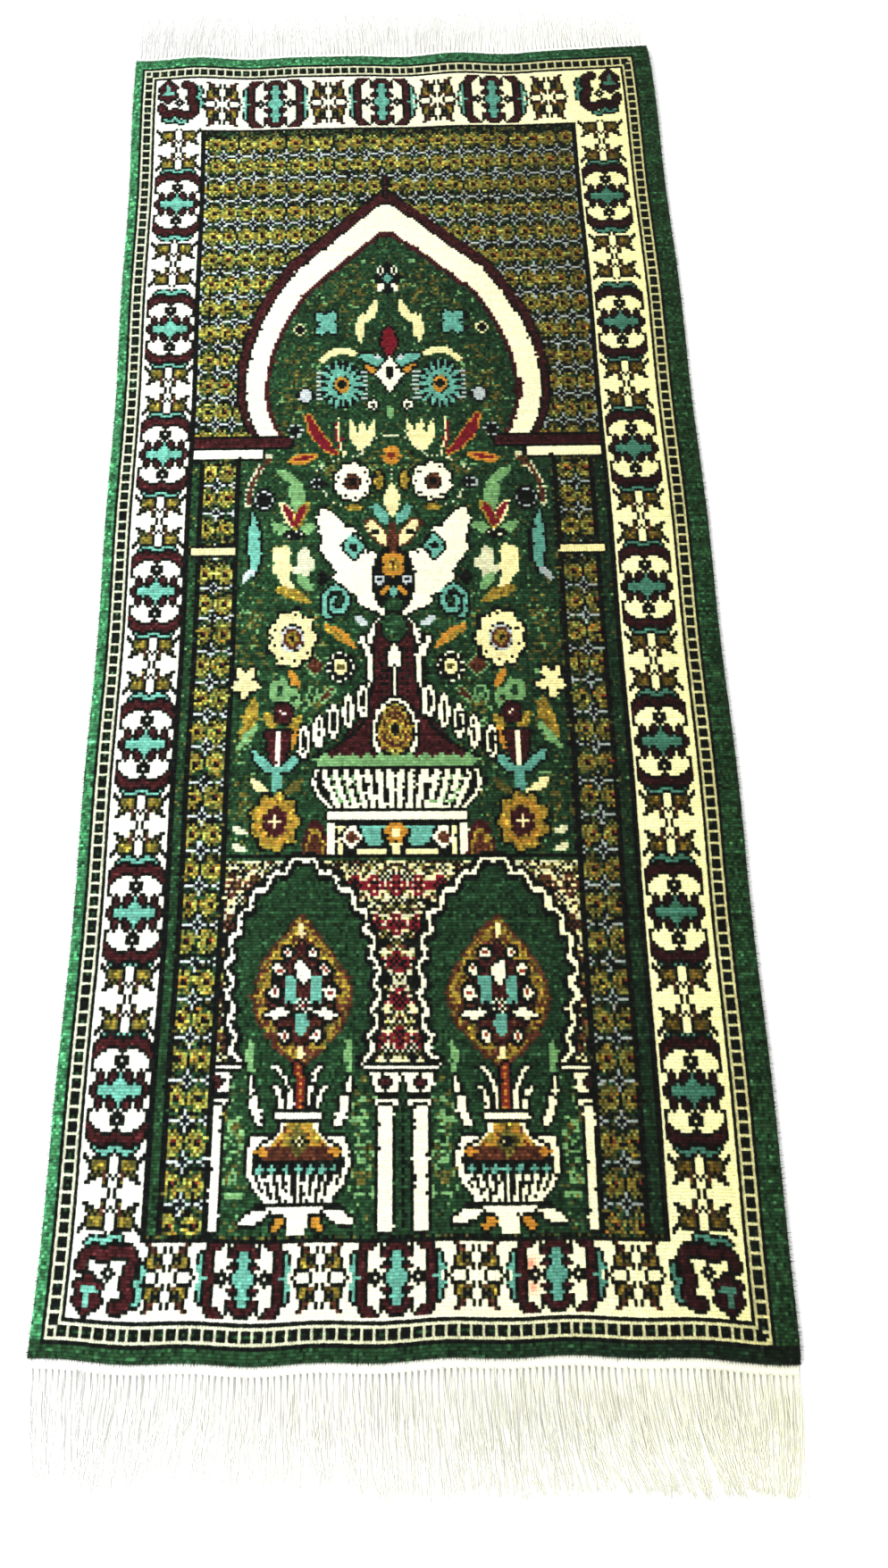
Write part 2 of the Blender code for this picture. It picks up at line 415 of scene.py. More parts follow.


# A quarter of each border motif, given knot by knot: its first row and column lie on the motif's axes
UPRIGHT_CARTOUCHE = """
ttttttttkdk
ttttttttkdk
tttkktkkdk.
ttkdkkddk..
tkddkwkdk..
tkddkwkdk..
kwkkwwwkwkk
kkwwwwwwwwk
kkkwwwwwwwk
wkkwwwwwwwk
kkkwwwwwwkd
kwwwwwwwkdd
kkwwwwkkddk
ddkkkkddddk
ddddddddddk
kddddddddk.
kkkkddkkk..
tttkkkktk..
kttttttk...
wkkttkk....
"""
LYING_CARTOUCHE = """
ttttkkkwkkddtttwk.
ttttkwkkkkdddktwk.
tttkwwwkwwkddktttk
ttkddkwwwwkddktwtk
ttkddkwwwwkddkttk.
ttkkkwwwwwkddktk..
tttkwwwwwwkddktk..
ttkddkwwwwkddktk..
ttkddkwwwwkddkk...
ttkddkwwwkdddk....
ddddkkwwkdddk.....
dddkwkwkddddk.....
kkkwwwkddddk......
"""
UPRIGHT_LEAVES = """
wkwwwwwwwww
wkwwwwwwwww
wwkkwwwwwww
wwkowwwwkkw
kwkbwwkkkww
wkwbkokokww
wwkbokokww.
wwkogogokw.
wwkoggookw.
wwkogoookk.
wwkkkkkk.kk
.k........k
"""
LYING_LEAVES = """
wwwkwwwwwk.
wwwkwwwwkw.
wkwwkkkkkw.
wkbwbbbbkw.
wkobogokww.
wwkokggk...
wwkkvogk...
wwkokok....
wkkkkbk....
wkw.bbk....
.k..kbk....
......bk...
"""


def stamp_quarters(drawing, x, y, half_rows):
    """Knot a motif from its given quarter, mirrored both ways, to a height in rows."""
    rows = np.array([list(row) for row in drawing.split()])
    half_columns = rows.shape[1] - 1
    down = np.abs(np.arange(-half_rows, half_rows + 1))
    down = np.round(down * (len(rows) - 1) / half_rows).astype(int)
    right = np.abs(np.arange(-half_columns, half_columns + 1))
    letters = rows[down][:, right]
    top, left = int(y) - half_rows, int(x) - half_columns
    for letter, yarn in LETTERS.items():
        r, c = np.nonzero(letters == letter)
        chart[np.clip(top + r, 0, ROWS - 1), left + c] = yarn


def corner_piece(corner_x, corner_y, sx, sy):
    """Where two borders meet: a bracket of three bows with two crests, round a flower and a floret.

    The bracket and crests are alike about the corner's diagonal, and the flower
    has a turquoise T on it. Places are counted inwards from the border's outer
    corner.
    """

    def lay(points):
        return np.asarray(points, float) * (sx, sy) + (corner_x, corner_y)

    tip, cusp = (3.6, 15.6), (10.6, 18.6)
    bows = [arc(*tip, *cusp, 2.8), arc(*cusp, *cusp[::-1], 7.4), arc(*cusp[::-1], *tip[::-1], 2.8)]
    line(lay(np.concatenate(bows)), 3.0, MAROON, BLACK)
    crest = np.concatenate([arc(5.0, 22.6, 10.6, 22.0, 1.4), arc(10.6, 22.0, 16.0, 23.8, 1.4)])
    for points in (crest, crest[:, ::-1]):
        line(lay(points), 3.0, BLACK)
        line(lay(points), 1.4, TURQUOISE)
    fill(lay(rosette(6.6, 7.2, 4.8, 6.2, 6, 0.30, 0.5 * np.pi)), MAROON, BLACK)
    line(lay([(4.8, 8.4), (8.8, 8.4)]), 2.2, TURQUOISE)
    line(lay([(6.4, 8.4), (6.4, 4.4)]), 2.0, TURQUOISE)
    stamp("..k.. .kkk. kkwkk .kkk. ..k..", corner_x + 12.6 * sx, corner_y + 13.8 * sy)


# ---- rim, guard and border ----
# First and last column, and first and last row, of each frame of the design
FRAMES = {"guard": (6, 239, 6, 505), "border": (13, 232, 13, 498), "field": (36, 207, 42, 476)}
FIELD_LEFT, FIELD_RIGHT, FIELD_BACK, FIELD_FRONT = FRAMES["field"]
RUNGS = (3.92, 4.16)  # knots from rung to rung of the ladder, across and along
CARTOUCHE_COLUMNS = (69.3, 119.6, 171.0)
FLOWER_COLUMNS = (44.8, 94.6, 145.0, 197.0)
CARTOUCHE_ROWS = (81.0, 144.5, 202.0, 260.0, 319.0, 378.0, 434.5)
FLOWER_ROWS = (52.3, 112.6, 173.0, 231.0, 289.5, 348.5, 406.0, 464.0)
LYING_ROWS = ((27, 13), (487, 10))  # middle row of the end borders' motifs, and their half height
UPRIGHT_COLUMNS = (24, 220)  # middle column of the side borders' motifs
UPRIGHT_HALVES = (19, 11)  # half height of their cartouches and leaves


def ladder():
    """The narrow guard: a pale ladder with dark squares between two black lines."""
    c0, c1, r0, r1 = FRAMES["guard"]
    c, r = np.meshgrid(np.arange(DRAWN), np.arange(ROWS))
    from_side = np.minimum(c - c0, c1 - c)
    from_end = np.minimum(r - r0, r1 - r)
    deep = np.minimum(from_side, from_end)
    along_side = (r - r0 + 0.5) % RUNGS[1] < 1.0
    along_end = (c - c0 + 0.5) % RUNGS[0] < 1.0
    rung = np.where(from_side < from_end, along_side, along_end)
    middle = (deep >= 2) & (deep <= 4)
    chart[(deep == 0) | (deep == 6) | middle] = BLACK
    chart[(deep == 1) | (deep == 5) | (middle & rung)] = PALE
    heart = (deep == 3) & ~rung & (chance.random(deep.shape) < 0.35)
    chart[heart] = GREEN


def borders():
    """The rim, the ladder guard, and the ivory border with its cartouches and flowers.

    The rim is a light green, but at the front it is the field's darker green, as painted shade along the
    front.
    """
    chart[:] = RIM
    # painted shade: the front rim is knotted in the field's darker green
    chart[FRAMES["guard"][3]:] = GREEN
    ladder()
    c0, c1, r0, r1 = FRAMES["border"]
    chart[r0:r1 + 1, c0:c1 + 1] = IVORY
    for row, half_rows in LYING_ROWS:
        for c in CARTOUCHE_COLUMNS:
            stamp_quarters(LYING_CARTOUCHE, c, row, half_rows)
        for c in FLOWER_COLUMNS:
            stamp_quarters(LYING_LEAVES, c, row, half_rows - 1)
    for c in UPRIGHT_COLUMNS:
        for r in CARTOUCHE_ROWS:
            stamp_quarters(UPRIGHT_CARTOUCHE, c, r, UPRIGHT_HALVES[0])
        for r in FLOWER_ROWS:
            stamp_quarters(UPRIGHT_LEAVES, c, r, UPRIGHT_HALVES[1])
    for corner_x, way in ((c0, 1), (c1 + 1, -1)):
        corner_piece(corner_x, r0, 0.90 * way, 1.0)
        corner_piece(corner_x, r1 + 1, 0.98 * way, -0.92)


# ---- the niche and its flowers ----
HALF_END = AXIS + 1  # the field's left half is drawn up to this column, and is mirrored then
# The niche's bands, outermost first: yarn, edge, tip row, widest row, half width and that at the foot
NICHE_FOOT = 197
NICHE_POWER = 0.88
NICHE_HOLLOW = 0.13
NICHE_BANDS = (
    (MAROON, BLACK, 69.5, 172, 65, 57.5),
    (IVORY, BLACK, 76, 174, 61.4, 54.5),
    (MAROON, None, 90.5, 175, 53.2, 45.8),
    (GREEN, None, 93.5, 175, 51.4, 43.6),
)


def niche():
    """The pointed arch over green ground, and the bars that its feet stand on."""
    for yarn, edge, tip, widest, half, foot_half in NICHE_BANDS:
        rows, reach = pointed_arch(tip, widest, NICHE_FOOT, half, foot_half, NICHE_POWER, NICHE_HOLLOW)
        side = np.stack([AXIS - reach, rows], axis=1)[reach > 0.4]
        fill(np.concatenate([side, [(HALF_END, NICHE_FOOT), (HALF_END, side[0, 1])]]), yarn, edge)
    line([(AXIS + 0.2, 70), (AXIS + 0.2, 79)], 2.2, MAROON, BLACK)
    box(57, HALF_END, NICHE_FOOT - 1, 360, GREEN)
    box(FIELD_LEFT, 78, NICHE_FOOT - 1, NICHE_FOOT + 3, MAROON, BLACK)
    box(FIELD_LEFT, 66.5, NICHE_FOOT + 3.6, NICHE_FOOT + 7.6, IVORY, BLACK)


def sprinkle(x0, x1, y0, y1, yarn, share):
    """Stray knots of a yarn over a stretch of ground, in small clumps, thicker in its middle."""
    block, x, y = cells(np.array([(x0, y0), (x1, y1)], float), 0)
    near = np.clip(1.2 - np.hypot((2 * x - x0 - x1) / (x1 - x0), (2 * y - y0 - y1) / (y1 - y0)), 0, 1)
    clumps = chance.random((x.shape[0] // 2 + 1, x.shape[1] // 2 + 1))
    clumps = np.kron(clumps, np.ones((2, 2)))[:x.shape[0], :x.shape[1]]
    mask = (clumps < share * near) & (chart[block] == GREEN) & (chance.random(x.shape) < 0.55)
    knot(block, mask, yarn)


def niche_flowers():
    """The flowers under the niche, left of the middle and on it."""
    for ground in ((94, 118, 112, 146), (74, 90, 150, 186), (70, 82, 168, 196), (84, 100, 128, 140)):
        sprinkle(*ground, OLIVE, 0.55)
        sprinkle(*ground, MINT, 0.18)
    # a dark lozenge under the tip, and leaves
    fill(lozenge(AXIS, 121.5, 6.5, 9.0), BLACK)
    flower(116.4, 117.5, 1.8, 2.6, 4, (1.0, IVORY), (0.4, BLACK))
    fill(lozenge(AXIS, 121.5, 2.2, 2.2), TURQUOISE)
    leaf(118.2, 123.5, 115.0, 128.2, 2.6, yarn=IVORY)
    leaf(114.5, 131.5, 108.8, 143.5, 4.2, -0.8, yarn=CREAM)
    leaf(108.5, 138.0, 107.4, 153.0, 4.2, 0.8, yarn=CREAM)
    fill(rosette(92.6, 143.0, 5.8, 6.6, 4, 0.5, 0.7), TURQUOISE, BLACK)
    fill(lozenge(81, 146, 2.6, 2.8), BLACK, CREAM)
    stem(91.0, 160.6, 104.0, 157.6, -2.6, 3.2, CREAM)
    # a drop, its collar and a lozenge flower
    leaf(AXIS, 144.5, AXIS, 160.0, 6.6, yarn=CRIMSON, edge=BLACK)
    leaf(118.6, 161.5, 107.0, 158.0, 5.2, -1.2, yarn=TURQUOISE, edge=BLACK)
    fill(oval(114.6, 159.4, 1.2, 1.2), ICE)
    leaf(108.5, 163.0, 114.5, 167.5, 2.6, yarn=ORANGE, edge=BLACK)
    fill(lozenge(AXIS, 167.5, 6.2, 8.4), IVORY, BLACK)
    fill(oval(AXIS, 166.5, 1.6, 3.2), BLACK)
    # the round flower, its neighbours and the red spray
    for r in range(166, 180, 2):
        line([(88.6, r + 0.5), (91, r + 0.5)], 1.0, ICE)
        line([(107.0, r + 0.5), (109.4, r + 0.5)], 1.0, ICE)
    fill(oval(99, 172.2, 9.4, 11.2), BLACK)
    fill(rosette(99, 172.2, 9.6, 11.4, 17, 0.55), TURQUOISE)
    flower(99, 172.2, 6.0, 7.2, 11, (1.0, TURQUOISE), (0.62, BLACK), (0.56, ORANGE), (0.3, BLACK))
    flower(83.5, 177.0, 3.0, 3.2, 4, (1.4, BLACK), (1.0, ICE))
    flower(79.3, 192.8, 3.2, 3.2, 4, (1.0, BLACK))
    beads(79.3, 192.8, 2.6, 2.6, 6, ICE)
    flower(112.2, 181.6, 2.2, 2.4, 5, (1.4, BLACK), (1.0, IVORY), (0.4, BLACK))
    leaf(84.6, 185.0, 97.8, 204.0, 4.0, 2.4, yarn=CRIMSON, edge=ORANGE)
    leaf(96.4, 188.6, 98.0, 202.0, 2.4, yarn=CRIMSON)
    stem(97.4, 187.6, 99.8, 204.0, 1.0, 1.0, CREAM)
    for x0, x1, bend in ((102.8, 106.6, 0.8), (107.8, 107.4, 0.4), (112.6, 108.2, -0.4)):
        leaf(x0, 187.6, x1, 202.4, 3.6, bend, yarn=CREAM)
    leaf(AXIS, 181.5, AXIS, 188.5, 3.0, yarn=MINT)


# ---- the garden below the niche ----


def garden():
    """The flowers between the niche and the tall vase, left of the middle and on it."""
    for ground in (
        (57, 70, 258, 300),
        (57, 68, 325, 358),
        (84, 100, 262, 276),
        (70, 90, 318, 330),
        (86, 100, 205, 214),
        (108, 116, 200, 214),
        (84, 96, 296, 318),
    ):
        sprinkle(*ground, OLIVE, 0.6)
        sprinkle(*ground, MINT, 0.25)
    garden_back()
    great_leaves()
    garden_middle()
    garden_front()


def garden_back():
    """Rosettes, pods and a cupped flower below the niche."""
    for bow in (
        (AXIS, 195, 106, 204.5, 2.4),
        (106, 204.5, 88, 211, 2.0),
        (AXIS, 208, AXIS, 216, 0),
        (91, 219, 103, 226.5, 2.0),
    ):
        stem(*bow, 1.0, PALE, dash=2.0)
    flower(AXIS, 204.2, 4.1, 4.4, 8, (1.0, ORANGE), (0.32, RUST))
    leaf(75.4, 206, 89.8, 203.0, 4.8, 0.8, yarn=ORANGE)
    leaf(78.5, 205.6, 87, 204.0, 2.0, 0.6, yarn=CRIMSON)
    flower(103.4, 215.6, 7.8, 8.6, 9, (1.14, BLACK), (1.0, IVORY), (0.44, BLACK), (0.38, BROWN), (0.2, BLACK))
    beads(103.4, 215.6, 6.4, 7.0, 9, BLACK, 0.5)
    flower(88.7, 216, 3.0, 3.0, 6, (1.0, BLACK))
    beads(88.7, 216, 2.2, 2.2, 6, ICE, 0.6)
    leaf(114.2, 210.5, 114.2, 219.5, 3.6, yarn=GOLD, edge=BLACK)
    leaf(100.2, 226.4, 108, 227, 3.4, yarn=GOLD)
    leaf(AXIS, 216, AXIS, 231, 6.4, yarn=CREAM)
    leaf(111.6, 225, 118.2, 234, 4.8, yarn=TURQUOISE)
    # mint leaves, the red cup and its blossom
    leaf(71.6, 209.6, 81.0, 216.0, 4.4, yarn=MINT)
    leaf(79.0, 213.0, 80.6, 229.0, 6.6, -0.8, yarn=MINT)
    for side, yarn in ((-1, CREAM), (1, GOLD)):
        leaf(79.6 + 6.4 * side, 223.6, 79.8, 236.4, 4.8, 0.8 * side, yarn=yarn)
        leaf(79.6 + 4.8 * side, 224.4, 79.8, 235.6, 2.8, 0.6 * side, yarn=CRIMSON)
        leaf(79.8 + 10.0 * side, 232.6, 79.8, 239.0, 4.4, yarn=MINT)
    fill(oval(79.4, 237.8, 4.4, 2.2), BLACK)
    beads(79.4, 237.8, 2.8, 1.2, 5, IVORY, 0.5)
    flower(75.2, 249.0, 5.0, 7.4, 5, (1.0, CREAM))
    flower(83.2, 250.0, 4.6, 6.8, 5, (1.0, PALE))
    fill(oval(79.6, 248.0, 1.6, 3.4), GREEN)
    leaf(72.6, 253, 80, 260.4, 4.2, yarn=CREAM)
    leaf(81.0, 254, 87, 261.4, 4.4, yarn=MINT)
    leaf(71, 260, 87.6, 266.4, 4.4, -0.8, yarn=GOLD)
    # the dark flower on its hooked stem, and a long drop
    stem(68.6, 204.5, 60.4, 225, 2.0, 3.4, PALE, dash=2.2)
    stem(68.0, 206, 61.0, 224, 2.0, 1.6, BROWN)
    flower(67.0, 223.0, 4.8, 5.2, 4, (1.0, BLACK))
    beads(67.0, 223.0, 3.4, 3.6, 8, ICE, 0.6)
    leaf(62.4, 228, 63.2, 256, 5.0, -1.0, yarn=TURQUOISE, edge=BLACK)
    leaf(58.6, 258, 64.4, 252, 3.2, -0.6, yarn=ICE)


def great_leaves():
    """The pair of long white toothed leaves, which hold a carnation on a dark lens."""
    leaf(90.5, 227, 118, 271.5, 20.5, 1.2, yarn=IVORY, edge=BLACK, teeth=4)
    fill(lozenge(103.7, 243, 4.6, 5.6), TURQUOISE, BLACK)
    fill(oval(103.7, 243, 1.6, 1.6), BLACK)
    leaf(108.5, 231.5, 117, 243, 5.0, -0.6, yarn=CREAM, edge=BROWN)
    fill(oval(112.6, 237, 1.4, 1.3), BLACK)
    fill(oval(AXIS, 256.5, 8.8, 14.0), BLACK)
    box(AXIS - 1.6, AXIS + 1.6, 233, 247, BROWN)
    flower(AXIS, 250.4, 4.8, 5.8, 5, (1.0, ORANGE), (0.5, GOLD), (0.2, BROWN))
    flower(114.0, 256.6, 1.8, 1.6, 4, (1.3, ICE), (0.6, BLACK))
    leaf(113.6, 263.5, 118.4, 258.5, 2.8, yarn=ORANGE)
    fill(oval(AXIS, 261.4, 1.3, 2.2), TURQUOISE)
    fill(oval(AXIS, 266.6, 4.0, 3.0), GREEN)


def garden_middle():
    """The scroll, the beaded flower and the large cream rosette."""
    fill(oval(91.4, 256, 2.4, 2.8), BLACK)
    scroll(97.0, 265.4, 5.8, 1.3, 2.0, TURQUOISE, BLACK)
    leaf(104, 271, 109, 275, 3.4, yarn=ICE)
    leaf(91, 274.6, 104.6, 283.8, 4.4, -0.8, yarn=ORANGE)
    leaf(92.4, 276.4, 100, 281.2, 2.0, -0.6, yarn=GOLD)
    flower(98.6, 291, 6.4, 6.8, 8, (1.0, BLACK), (0.44, CREAM), (0.22, OLIVE))
    beads(98.6, 291, 4.8, 5.2, 11, IVORY)
    fill(lozenge(88.4, 290.6, 3.4, 3.8), BROWN, MINT)
    scroll(88.2, 301.2, 2.8, 1.0, 1.3, MINT)
    leaf(91, 304, 96, 298.4, 2.4, yarn=BROWN, edge=MINT)
    flower(
        79.4, 279.8, 9.6, 11.4, 9, (1.12, BLACK), (1.0, CREAM), (0.50, BLACK), (0.46, ICE),
        (0.36, BROWN), (0.24, GOLD), (0.11, BLACK),
    )
    beads(79.4, 279.8, 7.6, 9.0, 9, BLACK, 0.5)
    leaf(78.6, 291.6, 82.4, 299.6, 3.4, yarn=ORANGE)


def garden_front():
    """The flowers beside the tall vase."""
    fill(rosette(61.6, 296.6, 5.4, 6.8, 5, 0.55, 0.3), CREAM, BLACK)
    flower(75.0, 300.0, 4.6, 5.0, 5, (1.0, MINT), (0.34, GREEN))
    flower(80.0, 303.0, 3.4, 4.0, 5, (1.0, MINT), (0.34, GREEN))
    leaf(60.4, 317.6, 65.6, 302, 5.6, 1.0, yarn=GOLD)
    leaf(58.6, 322, 67, 312, 3.0, 0.8, yarn=MINT)
    leaf(69, 307.4, 75.4, 316, 4.0, yarn=GOLD)
    leaf(84, 308.6, 78.4, 316, 3.8, yarn=GOLD)
    flower(76.8, 308.4, 3.8, 4.2, 5, (1.2, BLACK), (1.0, MAROON), (0.26, IVORY))
    # the lily on its maroon foot
    taper(75, 5.2, 2.4, 315, 328, MAROON, BLACK)
    leaf(75, 313.4, 75, 329.6, 3.0, yarn=IVORY)
    leaf(82.4, 313.6, 80.0, 322, 2.8, yarn=ORANGE)
    for side in (-1, 1):
        leaf(75 + 9.6 * side, 322.0, 75 + 0.4 * side, 330.6, 3.6, -0.6 * side, yarn=TURQUOISE, edge=BLACK)
        leaf(75 + 10.6 * side, 332.0, 75 + 2.0 * side, 338.6, 3.4, yarn=CREAM if side < 0 else OLIVE)
    taper(75, 2.2, 1.6, 328, 337, TURQUOISE)
    flower(74.6, 347.6, 9.4, 10.6, 9, (1.1, BLACK), (1.0, GOLD), (0.78, ORANGE), (0.68, GOLD), (0.52, MAROON))
    stamp("..c.. ..c.. ccccc ..c.. ..c..", 74.6, 347.6)
    for y in (350, 356):
        leaf(58.6, y, 64.4, y + 1.6, 3.0, yarn=PALE)


# ---- the tall vase ----
VASE_FOOT = 359
# Profiles, each a row and the half width there
VASE_PROFILE = ((274, 6.0), (284, 7.6), (303, 8.0), (316, 17.0), (327, 29.0))
BOWL_PROFILE = ((328.6, 30.4), (336, 31.6), (343, 25.0))
FLUTE_PITCH = 4.1


def tall_vase():
    """The tall vase on the rug's middle: neck, medallion, fluted bowl and foot."""
    stem(106.6, 279.6, 107.6, 305.0, -3.2, 2.2, IVORY, BLACK)
    stem(113.4, 273.6, 110.0, 280.6, 0.6, 2.4, IVORY, BLACK)
    turned(AXIS, VASE_PROFILE, MAROON, BLACK)
    fill(oval(AXIS, 275.6, 4.8, 5.6), GREEN, BLACK)
    for x in (114.5, 116.9):
        line([(x, 284), (x, 303)], 1.0, BLACK, dash=2.6)
    leaf(AXIS, 281.6, AXIS, 294.0, 5.0, yarn=IVORY, edge=BLACK)
    line([(AXIS, 292), (AXIS, 301)], 1.6, IVORY, BLACK)
    # tall ringed loops that step down the shoulder
    for step in range(5):
        x, y = 107.2 - 5.6 * step, 304.0 + 3.8 * step
        for rx, ry, yarn in ((3.0, 7.2, BLACK), (2.2, 6.4, IVORY), (0.9, 4.0, BLACK)):
            fill(oval(x, y, rx, ry), yarn)
    stem(88.0, 325.0, 110.6, 307.5, 2.4, 1.2, BLACK)
    # the medallion, an egg with its small end up
    middle = 314.4
    for rx, ry, yarn in (
        (9.6, 12.8, BLACK),
        (8.8, 11.8, IVORY),
        (7.4, 10.4, BLACK),
        (6.6, 9.4, GOLD),
        (4.8, 7.0, BROWN),
        (4.0, 5.8, GOLD),
        (1.4, 2.6, BLACK),
    ):
        egg = oval(AXIS, middle, rx, ry)
        egg[:, 0] = AXIS + (egg[:, 0] - AXIS) * (1.0 + 0.16 * (egg[:, 1] - middle) / ry)
        fill(egg, yarn)
    block, _, _ = cells(np.array([(112, 304), (127, 325)], float), 0)
    knot(block, chart[block] == GOLD, BROWN, 0.22)
    knot(block, chart[block] == GOLD, STRAW, 0.25)
    box(AXIS - 5, HALF_END, 325.0, 326.4, IVORY, BLACK)
    # mint band and fluted bowl
    box(91, HALF_END, 325.4, 330.0, BLACK)
    for x in np.arange(AXIS - 26.5, HALF_END, 5.3):
        fill(oval(x, 326.6, 3.1, 3.2), MINT)
    turned(AXIS, BOWL_PROFILE, IVORY, BLACK)
    turned(AXIS, [(row, half - 1.6) for row, half in BOWL_PROFILE], BLACK)
    for number in range(7):
        off = (number + 0.5) * FLUTE_PITCH
        line(arc(AXIS - off, 330.0, AXIS - 0.80 * off, 342.6, 0.10 * number), 2.3, IVORY)
        if number > 3:
            line(arc(AXIS - off + 2.0, 331.0, AXIS - 0.80 * off + 1.7, 341.6), 1.0, MINT, dash=3)
    # bar and foot
    box(AXIS - 25, HALF_END, 343.6, 346.8, IVORY, BLACK)
    taper(AXIS, 26, 25, 348.4, VASE_FOOT, BLACK)
    box(AXIS - 25.2, AXIS - 22.6, 348.4, VASE_FOOT, IVORY)
    box(AXIS - 21.6, AXIS - 19, 349, VASE_FOOT, CREAM)
    flower(103.0, 352.8, 3.8, 4.0, 4, (1.2, BLACK), (1.0, IVORY), (0.5, BROWN))
    taper(111.4, 5.4, 2.6, 349, 356, TURQUOISE)
    box(105, 115.6, VASE_FOOT - 2, VASE_FOOT, CREAM)
    flower(AXIS, 351.4, 4.6, 3.6, 6, (1.2, BLACK), (1.0, ORANGE), (0.4, CREAM))
    taper(AXIS, 2.2, 1.6, VASE_FOOT - 4, VASE_FOOT, CREAM)
    # the brown dome beside the foot: the upper half of an oval, and two in it
    for rx, ry, yarn in ((4.9, 12.0, MAROON), (3.5, 9.4, GOLD), (2.4, 7.4, BROWN)):
        dome = oval(89.6, VASE_FOOT, rx, ry)
        block, x, y = cells(dome, 1)
        knot(block, inside(dome, x, y) & (y < VASE_FOOT), yarn)


# ---- the two arches ----
ARCH_AXIS = 85.6
ARCH = (361, 397, 427, 25.2, 21.0, 0.60)  # tip, widest row, foot, half width, half width at the foot, power
WALL_LEFT = 56
LATTICE_PITCH = (7.5, 12.1)
CROSS = "..xxx.. ..x.x.. xxkxkxx x.xkx.x xxkxkxx ..x.x.. ..xxx.."
CHAIN = "..k.. .k.k. ..k.."


def lattice_wall():
    """The wall behind the two arches: crosses and short chains in rows on an evenly flecked ground.

    The crosses are crimson near the rug's middle and brown further out.
    """
    wall = (slice(ARCH[0], ARCH[2] + 1), slice(WALL_LEFT, int(HALF_END) + 1))
    row, column = np.indices(chart[wall].shape)
    knot(wall, row >= 0, CREAM)
    knot(wall, (row + column) % 2 == 0, BLACK, 0.55)
    for fleck, share in ((PALE, 0.35), (STRAW, 0.10), (OLIVE, 0.30), (BROWN, 0.30)):
        knot(wall, chart[wall] == CREAM, fleck, share)
    for r in np.arange(370.0, 430, LATTICE_PITCH[1]):
        for c in np.arange(AXIS - 8 * LATTICE_PITCH[0], AXIS + 8, LATTICE_PITCH[0]):
            stamp(CROSS if c > 100 else CROSS.replace("x", "b"), c, r)
            stamp(CHAIN, c + 0.5 * LATTICE_PITCH[0], r + 6)


def arcade():
    """The left one of the two arches at the front: its wall, almond, vase and columns.

    The arch has an ivory line of teeth along it, and the wall beside it stands
    on an ivory line too.
    """
    box(WALL_LEFT, HALF_END, VASE_FOOT, FIELD_FRONT, GREEN)
    lattice_wall()
    rows, reach = pointed_arch(*ARCH)
    side = np.stack([ARCH_AXIS - reach, rows], axis=1)
    left = toothed(np.concatenate([side[::-10], side[:1]]), 9, 2.3)
    right = (left * (-1, 1) + (2 * ARCH_AXIS, 0))[::-1]
    fill(np.concatenate([left, right]), GREEN, BLACK)
    for scallops in (left, right):
        line(scallops, 4.6, BLACK)
    for scallops in (left, right):
        line(scallops, 1.5, IVORY)
    taper(ARCH_AXIS + 0.3, 21.4, 25.4, 427, 475, GREEN)
    for x0, x1 in ((WALL_LEFT, ARCH_AXIS - 21.6), (ARCH_AXIS + 21.6, HALF_END)):
        line([(x0, 427.4), (x1, 427.4)], 1.2, IVORY, BLACK)
    almond()
    for x in (67.6, 101.6):
        leaf(x, 419, x + 0.6, 430, 3.2, yarn=MINT)
    for x0, x1 in ((58, 67), (101, 111)):
        sprinkle(x0, x1, 428, FIELD_FRONT, MINT, 0.7)
        sprinkle(x0, x1, 428, FIELD_FRONT, OLIVE, 0.35)
        for r in (442, 452.5, 464.5):
            line([(x0 + 2, r), (x1 - 2, r)], 1.0, MINT, dash=2.4)
    small_vase()
    columns()


def almond():
    """The almond-shaped medallion in an arch: flecked gold round red, with white buds.

    Its half width is a sine of a power of the way down, so it is widest below
    its middle and its top is drawn out.
    """
    m, top = 85.2, 378.4
    t = np.linspace(0, 1, 17)
    for half, down, tall, yarn in (
        (17.8, 0, 50, BROWN),
        (16.8, 1.2, 47.6, GOLD),
        (12.2, 8.4, 35.4, BLACK),
        (11.4, 9.4, 33.6, MAROON),
    ):
        side = half * np.sin(np.pi * t**1.15) ** 0.9
        y = top + down + tall * t
        fill(np.stack([np.r_[m - side, (m + side)[::-1]], np.r_[y, y[::-1]]], axis=1), yarn)
    block, _, _ = cells(np.array([(66, 377), (104, 430)], float), 0)
    knot(block, chart[block] == GOLD, BROWN, 0.36)
    knot(block, chart[block] == GOLD, OLIVE, 0.20)
    knot(block, chart[block] == MAROON, BROWN, 0.40)
    for side in (-1, 1):
        for x, y, size in ((4.4, 391.6, 1.6), (8.2, 397.2, 1.9), (9.8, 404.4, 2.1), (5.6, 417.8, 1.7)):
            flower(m + side * x, y, size, 1.1 * size, 4, (1.7, BLACK), (1.0, IVORY), (0.4, RUST))
        leaf(m + side * 12.8, 411.6, m + side * 4.2, 410.4, 3.2, yarn=IVORY, edge=BLACK)
        box(*sorted((m + side * 2.4, m + side * 6.6)), 399.5, 408.5, TURQUOISE)
        line([(m + side * 4.6, 408.0), (m + side * 3.0, 411.6)], 2.0, BLACK)
    leaf(m, 393.5, m, 402.0, 5.0, yarn=IVORY, edge=BLACK)
    leaf(m, 409.5, m, 418.5, 5.0, yarn=TURQUOISE)
    stamp("kwkwk wkwkw kwxwk wkwkw kwkwk", m, 408.4)
    for y in (384.4, 423.0):
        fill(oval(m, y, 1.2, 2.4), CREAM)


